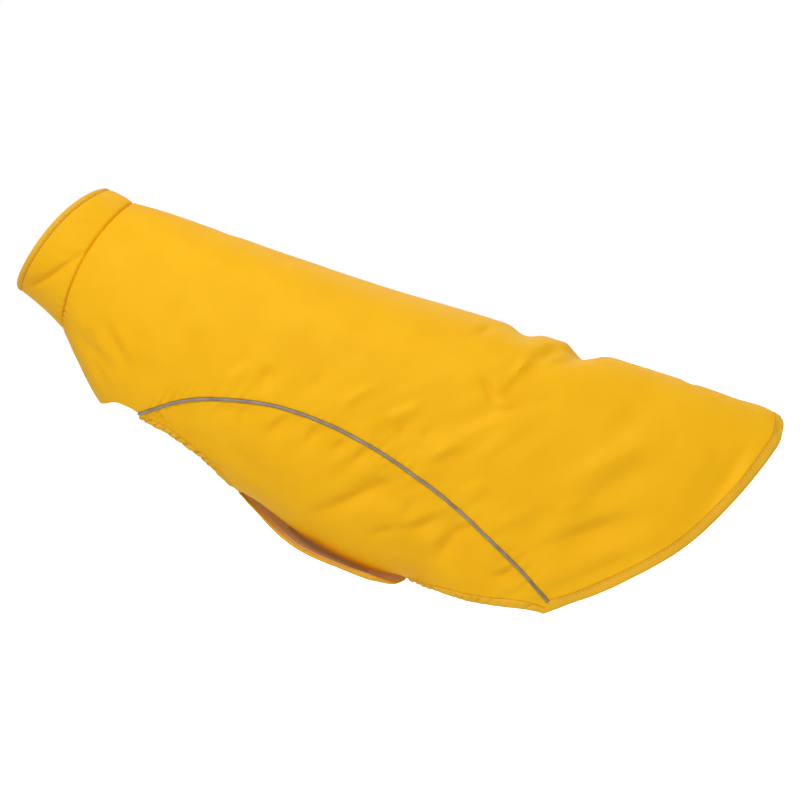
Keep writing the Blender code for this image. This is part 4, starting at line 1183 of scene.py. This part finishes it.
# ---- collar
def rim_ring(shares, sides):
    """Points of the collar's rim, at shares of the way round from nape to throat."""
    turn = np.linspace(0, pi, 200)
    s, c = np.sin(turn), np.cos(turn)
    down = (1 - np.sign(c) * np.abs(c) ** (2 / RIM_POWER)) / 2
    out = RIM_HALF_WIDTH * s ** (2 / RIM_POWER)
    out[-1] = 0
    nape, chord = np.array(RIM_NAPE), np.subtract(RIM_THROAT, RIM_NAPE)
    bow = RIM_BOW * s ** 2 * (1 + RIM_BOW_SKEW * c)
    line = nape + chord * down[:, None] + unit(np.array([-chord[1], chord[0]])) * bow[:, None]
    curve = np.stack([line[:, 0], out, line[:, 1]], 1)
    ring = read_line(curve, lengths(curve) / lengths(curve)[-1], shares)
    ring[:, 1] *= sides
    return ring


def collar_dents(rows, shares, sides, t):
    """How far the collar's folds or creases push it in."""
    push = np.zeros_like(t)
    for row in rows:
        fold = dict(zip(COLLAR_FOLD_COLUMNS, row))
        run = (t - fold["rise_1"]) / (fold["rise_2"] - fold["rise_1"])
        line = fold["share_1"] + (fold["share_2"] - fold["share_1"]) * run
        x = (shares[:, None] - line) / fold["half_width"]
        push += np.where(sides[:, None] == fold["side"],
                         window(run, -0.35, 0.35, 0.65, 1.2) * hump(x, 1, fold["depth"]), 0)
    return push


class Collar:
    """The standing band between the neck seam and the rim."""

    half = CELLS_ROUND * STEPS_COLLAR
    seam = neck_seam(half)
    ring = np.concatenate([seam, to_side(seam, -1)[-2:0:-1]])
    share = np.linspace(0, 1, half + 1)
    shares = np.concatenate([share, share[-2:0:-1]])
    sides = np.concatenate([-np.ones(half + 1), np.ones(half - 1)])
    place, out = Cloth.worn(ring)
    base = place - COLLAR_STEP * out
    rim = rim_ring(shares, sides)
    middle = base.mean(axis=0)
    height = np.linalg.norm(rim - base, axis=1)
    fold_line = height - RIM_WIDTH
    run = lengths(np.vstack([base, base[:1]]))

    @classmethod
    def band(cls, up):
        """Places and outward directions at distances up from the seam (rings x levels)."""
        t = up / cls.height[:, None]
        ring = cls.base[:, None] + t[..., None] * (cls.rim - cls.base)[:, None]
        centre = cls.middle + t[..., None] * (cls.rim.mean(axis=0) - cls.middle)
        out = unit(ring - centre)
        swell = COLLAR_FULLNESS * (1 - 2 * cls.shares[:, None]) * 4 * t * (1 - t)
        swell -= collar_dents(COLLAR_FOLDS + COLLAR_CREASES, cls.shares, cls.sides, t)
        swell += Cloth.waves(cls.run[:-1, None], up + 0 * t, NECK_PUCKERS, 0.6)
        return ring + out * swell[..., None], out

    @classmethod
    def flat(cls, up):
        """Where the band's points lie on the cut."""
        run = np.broadcast_to(cls.run[:, None], (len(cls.run), up.shape[1]))
        return np.stack([np.vstack([up, up[:1]]), run], -1)


def make_collar_band():
    """Double cloth, from the neck seam to where the edge is turned over it."""
    low, high = SEAM_GAP, (Collar.fold_line - SEAM_GAP)[:, None]
    up = low + (high - low) * np.union1d(np.linspace(0, 1, CELLS_COLLAR + 1), COLLAR_CLOSE)
    place, out = Collar.band(up)
    dip = (hump(np.minimum(up - low, high - up), 0.8, 0.45) + hump(up - low, 0.8, 0.8))[..., None]
    piece = add_wall("collar_band", place - dip * out,
                     closed_up(place) - (COLLAR_WALL - ROLL_INSIDE * dip) * out,
                     Collar.flat(up), "collar", (SHELL, BACKING_PAINTED_GLOW), closed=True)
    length = float(Collar.run[-1])
    declare(piece, COLLAR_CUT, length * COLLAR_LONGER, COLLAR_MEAN_WIDTH * length, "folded",
            ["back_panel_cloth"])


def make_collar_rim():
    """The turned and topstitched edge."""
    up = Collar.fold_line[:, None] + RIM_WIDTH * RIM_ACROSS
    place, out = Collar.band(up)
    run = Collar.run[:-1, None]
    waves = 0.13 * np.sin(2 * pi * swung(run / 5.7, run, (0.3, 21, 0)))
    groove = hump(RIM_ACROSS - RIM_STITCH, 0.07, 0.16)
    dip = hump(RIM_WIDTH * (1 - RIM_ACROSS), 1.1, 1.35) + hump(RIM_WIDTH * RIM_ACROSS, 0.6, 0.45)
    proud = (RIM_PROUD + waves - groove - dip)[..., None]
    sunk = (COLLAR_WALL + RIM_PROUD - waves - dip)[..., None]
    piece = add_wall("collar_rim_edge", place + proud * out, place - sunk * out,
                     Collar.flat(up), "collar_rim", (EDGE,), closed=True)
    length = float(Collar.run[-1])
    declare(piece, 2 * RIM_WIDTH + COLLAR_WALL, length * RIM_SHORTER,
            (RIM_WIDTH + COLLAR_WALL) * length, "folded", ["collar_band"])


# ---- lining of the flap
def make_flap_lining():
    """Tan knit inside the flap, where its free end stands off."""
    below_seam, _, _, edge = side_lines(FLAP_REACH, *FLAP_CORNERS)
    down = np.linspace(0, 1, CELLS_SIDE + 1)[:, None]
    ends = [below_seam[k] * (1 - down) + edge[k] * down for k in (0, -1)]
    panel = coons(below_seam, edge, *ends)
    past = past_middle(panel)
    stations = np.flatnonzero(past[:, -1] > LINING_FROM)
    rows = np.flatnonzero(past[stations[len(stations) // 2]] > -(TAB_REACH + LINING_UNDER))
    flat = to_side(panel[stations][:, rows], -1)
    for steps in STEPS_LINING:
        flat = refine(flat, places(len(flat) - 1, steps)).swapaxes(0, 1)
    place, out = Cloth.worn(flat)
    under = WALL + SEAM_GAP
    piece = add_wall("flap_lining_knit", place - under * out,
                     place - (under + LINING_WALL) * out, flat, "flap_lining",
                     (LINING_PAINTED_GLOW,))
    declare(piece, *CUTS[piece.name], "stretched", ["side_panel_far_cloth"])


# ---- stitching
def model_stitch():
    """One stitch, lying along X, with its ends tapered down into the cloth."""
    bpy.ops.object.select_all(action="DESELECT")
    bpy.ops.mesh.primitive_cylinder_add(vertices=6, radius=STITCH_THICK / 2 * MM,
                                        depth=STITCH_BARREL * STITCH_LENGTH * MM,
                                        end_fill_type="NGON")
    stitch = bpy.context.object
    bpy.ops.object.mode_set(mode="EDIT")
    for end in (-1, 1):
        bpy.ops.mesh.select_all(action="DESELECT")
        mesh = bmesh.from_edit_mesh(stitch.data)
        for face in mesh.faces:
            face.select = face.normal.z * end > 0.9
        bmesh.update_edit_mesh(stitch.data)
        move = (0, -STITCH_DROP * MM, end * STITCH_TAPER * STITCH_LENGTH * MM)
        bpy.ops.mesh.extrude_region_move(TRANSFORM_OT_translate={"value": move})
        bpy.ops.transform.resize(value=(STITCH_TIP, STITCH_TIP, 1.0))
    bpy.ops.object.mode_set(mode="OBJECT")
    points = np.array([vertex.co[:] for vertex in stitch.data.vertices]) / MM
    faces = [list(face.vertices) for face in stitch.data.polygons]
    bpy.data.objects.remove(stitch)
    # The long axis goes to X, and the dropped ends down to -Z.
    return np.stack([points[:, 2], points[:, 0], points[:, 1]], 1), faces


STITCH_POINTS, STITCH_FACES = model_stitch()


def add_stitches(name, place, up):
    """A row of stitches along a line of worn places."""
    run = lengths(place)
    count = int(run[-1] / STITCH_PITCH)
    wanted = (np.arange(count) + 0.5) * run[-1] / count
    reach = STITCH_LENGTH / 3
    ahead = unit(read_line(place, run, wanted + reach) - read_line(place, run, wanted - reach))
    side = unit(np.cross(read_line(up, run, wanted), ahead))
    swing = STITCH_SWING * np.sin(2.4 * np.arange(count))[:, None]
    first = ahead * np.cos(swing) + side * np.sin(swing)
    second = side * np.cos(swing) - ahead * np.sin(swing)
    x, y, z = STITCH_POINTS.T[:, None, :, None]
    points = (read_line(place, run, wanted)[:, None] + first[:, None] * x
              + second[:, None] * y + np.cross(ahead, side)[:, None] * z)
    mesh = bpy.data.meshes.new(name)
    size = len(STITCH_POINTS)
    faces = [[k * size + corner for corner in face]
             for k in range(count) for face in STITCH_FACES]
    mesh.from_pydata(to_world(points.reshape(-1, 3)).tolist(), [], faces)
    mesh.materials.append(THREAD)
    mesh.shade_smooth()
    work = bmesh.new()
    work.from_mesh(mesh)
    bmesh.ops.recalc_face_normals(work, faces=work.faces)
    work.to_mesh(mesh)
    work.free()
    put_in(name, mesh)


def make_stitching():
    """Topstitching in the hem's and the collar rim's grooves."""
    lines = hem_lines()
    line = lines[:, 0] * (1 - HEM_STITCH) + lines[:, 1] * HEM_STITCH
    place, up = Cloth.worn(line[4:-4])
    add_stitches("hem_stitches", place + up * (HEM_PROUD - HEM_STITCHES_SUNK), up)
    place, up = Collar.band((Collar.fold_line + RIM_WIDTH * RIM_STITCH)[:, None])
    place, up = (np.vstack([line[:, 0], line[0]]) for line in (place, up))
    add_stitches("rim_stitches", place + up * (RIM_PROUD - RIM_STITCHES_SUNK), up)


# ==== camera, stage and light
CAMERA_TARGET = (229.0, 0.0, 77.4)  # along, across, deep (mm)
CAMERA_DISTANCE = 1.300    # m
CAMERA_RISE = radians(5.5)
CAMERA_LENS, CAMERA_SENSOR = 79.6, 36  # mm
FLOOR_LEVEL, FLOOR_SIZE = -0.46, 12    # m
FLOOR_GLOW_FROM, FLOOR_GLOW_TO, FLOOR_GLOW = 0.1, 0.5, 1.0  # further out, as pale as the wall
PAPER = ((0.3, (0.95, 0.95, 0.95, 1)), (0.7, (0.96, 0.96, 0.96, 1)))
WHITE = (1, 1, 1, 1)


def make_camera():
    """Level with the coat's middle, from the near side and a little above."""
    data = bpy.data.cameras.new("camera")
    data.lens = CAMERA_LENS
    data.sensor_width = CAMERA_SENSOR
    camera = bpy.data.objects.new("camera", data)
    bpy.context.scene.collection.objects.link(camera)
    target = Vector(to_world(np.array(CAMERA_TARGET)))
    back = Vector((0, -cos(CAMERA_RISE), sin(CAMERA_RISE)))
    camera.location = target + back * CAMERA_DISTANCE
    camera.rotation_euler = (-back).to_track_quat("-Z", "Y").to_euler()
    bpy.context.scene.camera = camera


def make_stage():
    """A pale floor that is clear from below."""
    bpy.ops.object.select_all(action="DESELECT")
    bpy.ops.mesh.primitive_plane_add(size=FLOOR_SIZE, location=(0, 0, FLOOR_LEVEL))
    floor = bpy.context.object
    floor.name = "floor"
    finish = Finish("floor_paper", 0.9, Specular_IOR_Level=0.1, Emission_Color=WHITE)
    away = finish.node("VectorMath", {0: finish.solid()}, operation="LENGTH").outputs["Value"]
    glow = finish.node("MapRange", {"Value": away, "From Min": FLOOR_GLOW_FROM,
                                    "From Max": FLOOR_GLOW_TO, "To Max": FLOOR_GLOW})
    seen = finish.node("LightPath").outputs["Is Camera Ray"]
    shown = finish.node("Math", {0: glow.outputs[0], 1: seen}, operation="MULTIPLY")
    finish.links.new(shown.outputs[0], finish.shader.inputs["Emission Strength"])
    below = finish.node("NewGeometry").outputs["Backfacing"]
    clear = finish.node("Math", {0: 1.0, 1: below}, operation="SUBTRACT")
    finish.links.new(clear.outputs[0], finish.shader.inputs["Alpha"])
    finish.colour(finish.noise(finish.solid(), 3.0), *PAPER)
    floor.data.materials.append(finish.material)


# name, place (m), size (m), power (W)
LIGHTS = (
    ("key", (-0.45, -1.5, 1.35), 0.9, 21.4),
    ("top", (0.3, 0.2, 1.9), 1.3, 5.0),
    ("far_fill", (0.5, 1.7, 1.1), 1.3, 6.0),
)
LIT = Vector((0, 0, -0.08))  # where the lamps aim
AMBIENT = 0.44


def make_lights():
    """A white room that lights the coat less than it shows, and soft lamps."""
    world = bpy.data.worlds.new("soft_room")
    world.use_nodes = True
    nodes, links = world.node_tree.nodes, world.node_tree.links
    room = nodes["Background"]
    room.inputs["Strength"].default_value = AMBIENT
    wall = nodes.new("ShaderNodeBackground")
    for background in (room, wall):
        background.inputs["Color"].default_value = WHITE
    rays, mix = nodes.new("ShaderNodeLightPath"), nodes.new("ShaderNodeMixShader")
    links.new(rays.outputs["Is Camera Ray"], mix.inputs["Fac"])
    links.new(room.outputs[0], mix.inputs[1])
    links.new(wall.outputs[0], mix.inputs[2])
    links.new(mix.outputs[0], nodes["World Output"].inputs["Surface"])
    bpy.context.scene.world = world
    for name, place, size, power in LIGHTS:
        data = bpy.data.lights.new(name, "AREA")
        data.shape, data.size, data.energy = "DISK", size, power
        lamp = bpy.data.objects.new(name, data)
        bpy.context.scene.collection.objects.link(lamp)
        lamp.location = place
        lamp.rotation_euler = (LIT - lamp.location).to_track_quat("-Z", "Y").to_euler()
    bpy.context.scene.view_settings.view_transform = "Standard"


# ==== the coat
make_camera()
make_stage()
make_lights()
make_back_panel()
make_side("near", 1, TAB_REACH, *TAB_CORNERS, CASING_WALL)
make_side("far", -1, FLAP_REACH, *FLAP_CORNERS, FLAP_EDGE_WALL)
make_piping("near", 1)
make_piping("far", -1)
make_rear_hem()
make_collar_band()
make_collar_rim()
make_flap_lining()
make_stitching()
for node, pitch, depth in PILES:
    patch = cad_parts[node]
    patch.data.materials.clear()
    # Each patch gets the pile finish with its painted tan glow.
    patch.data.materials.append(patch_finish(node + "_pile_painted_glow", pitch, depth))
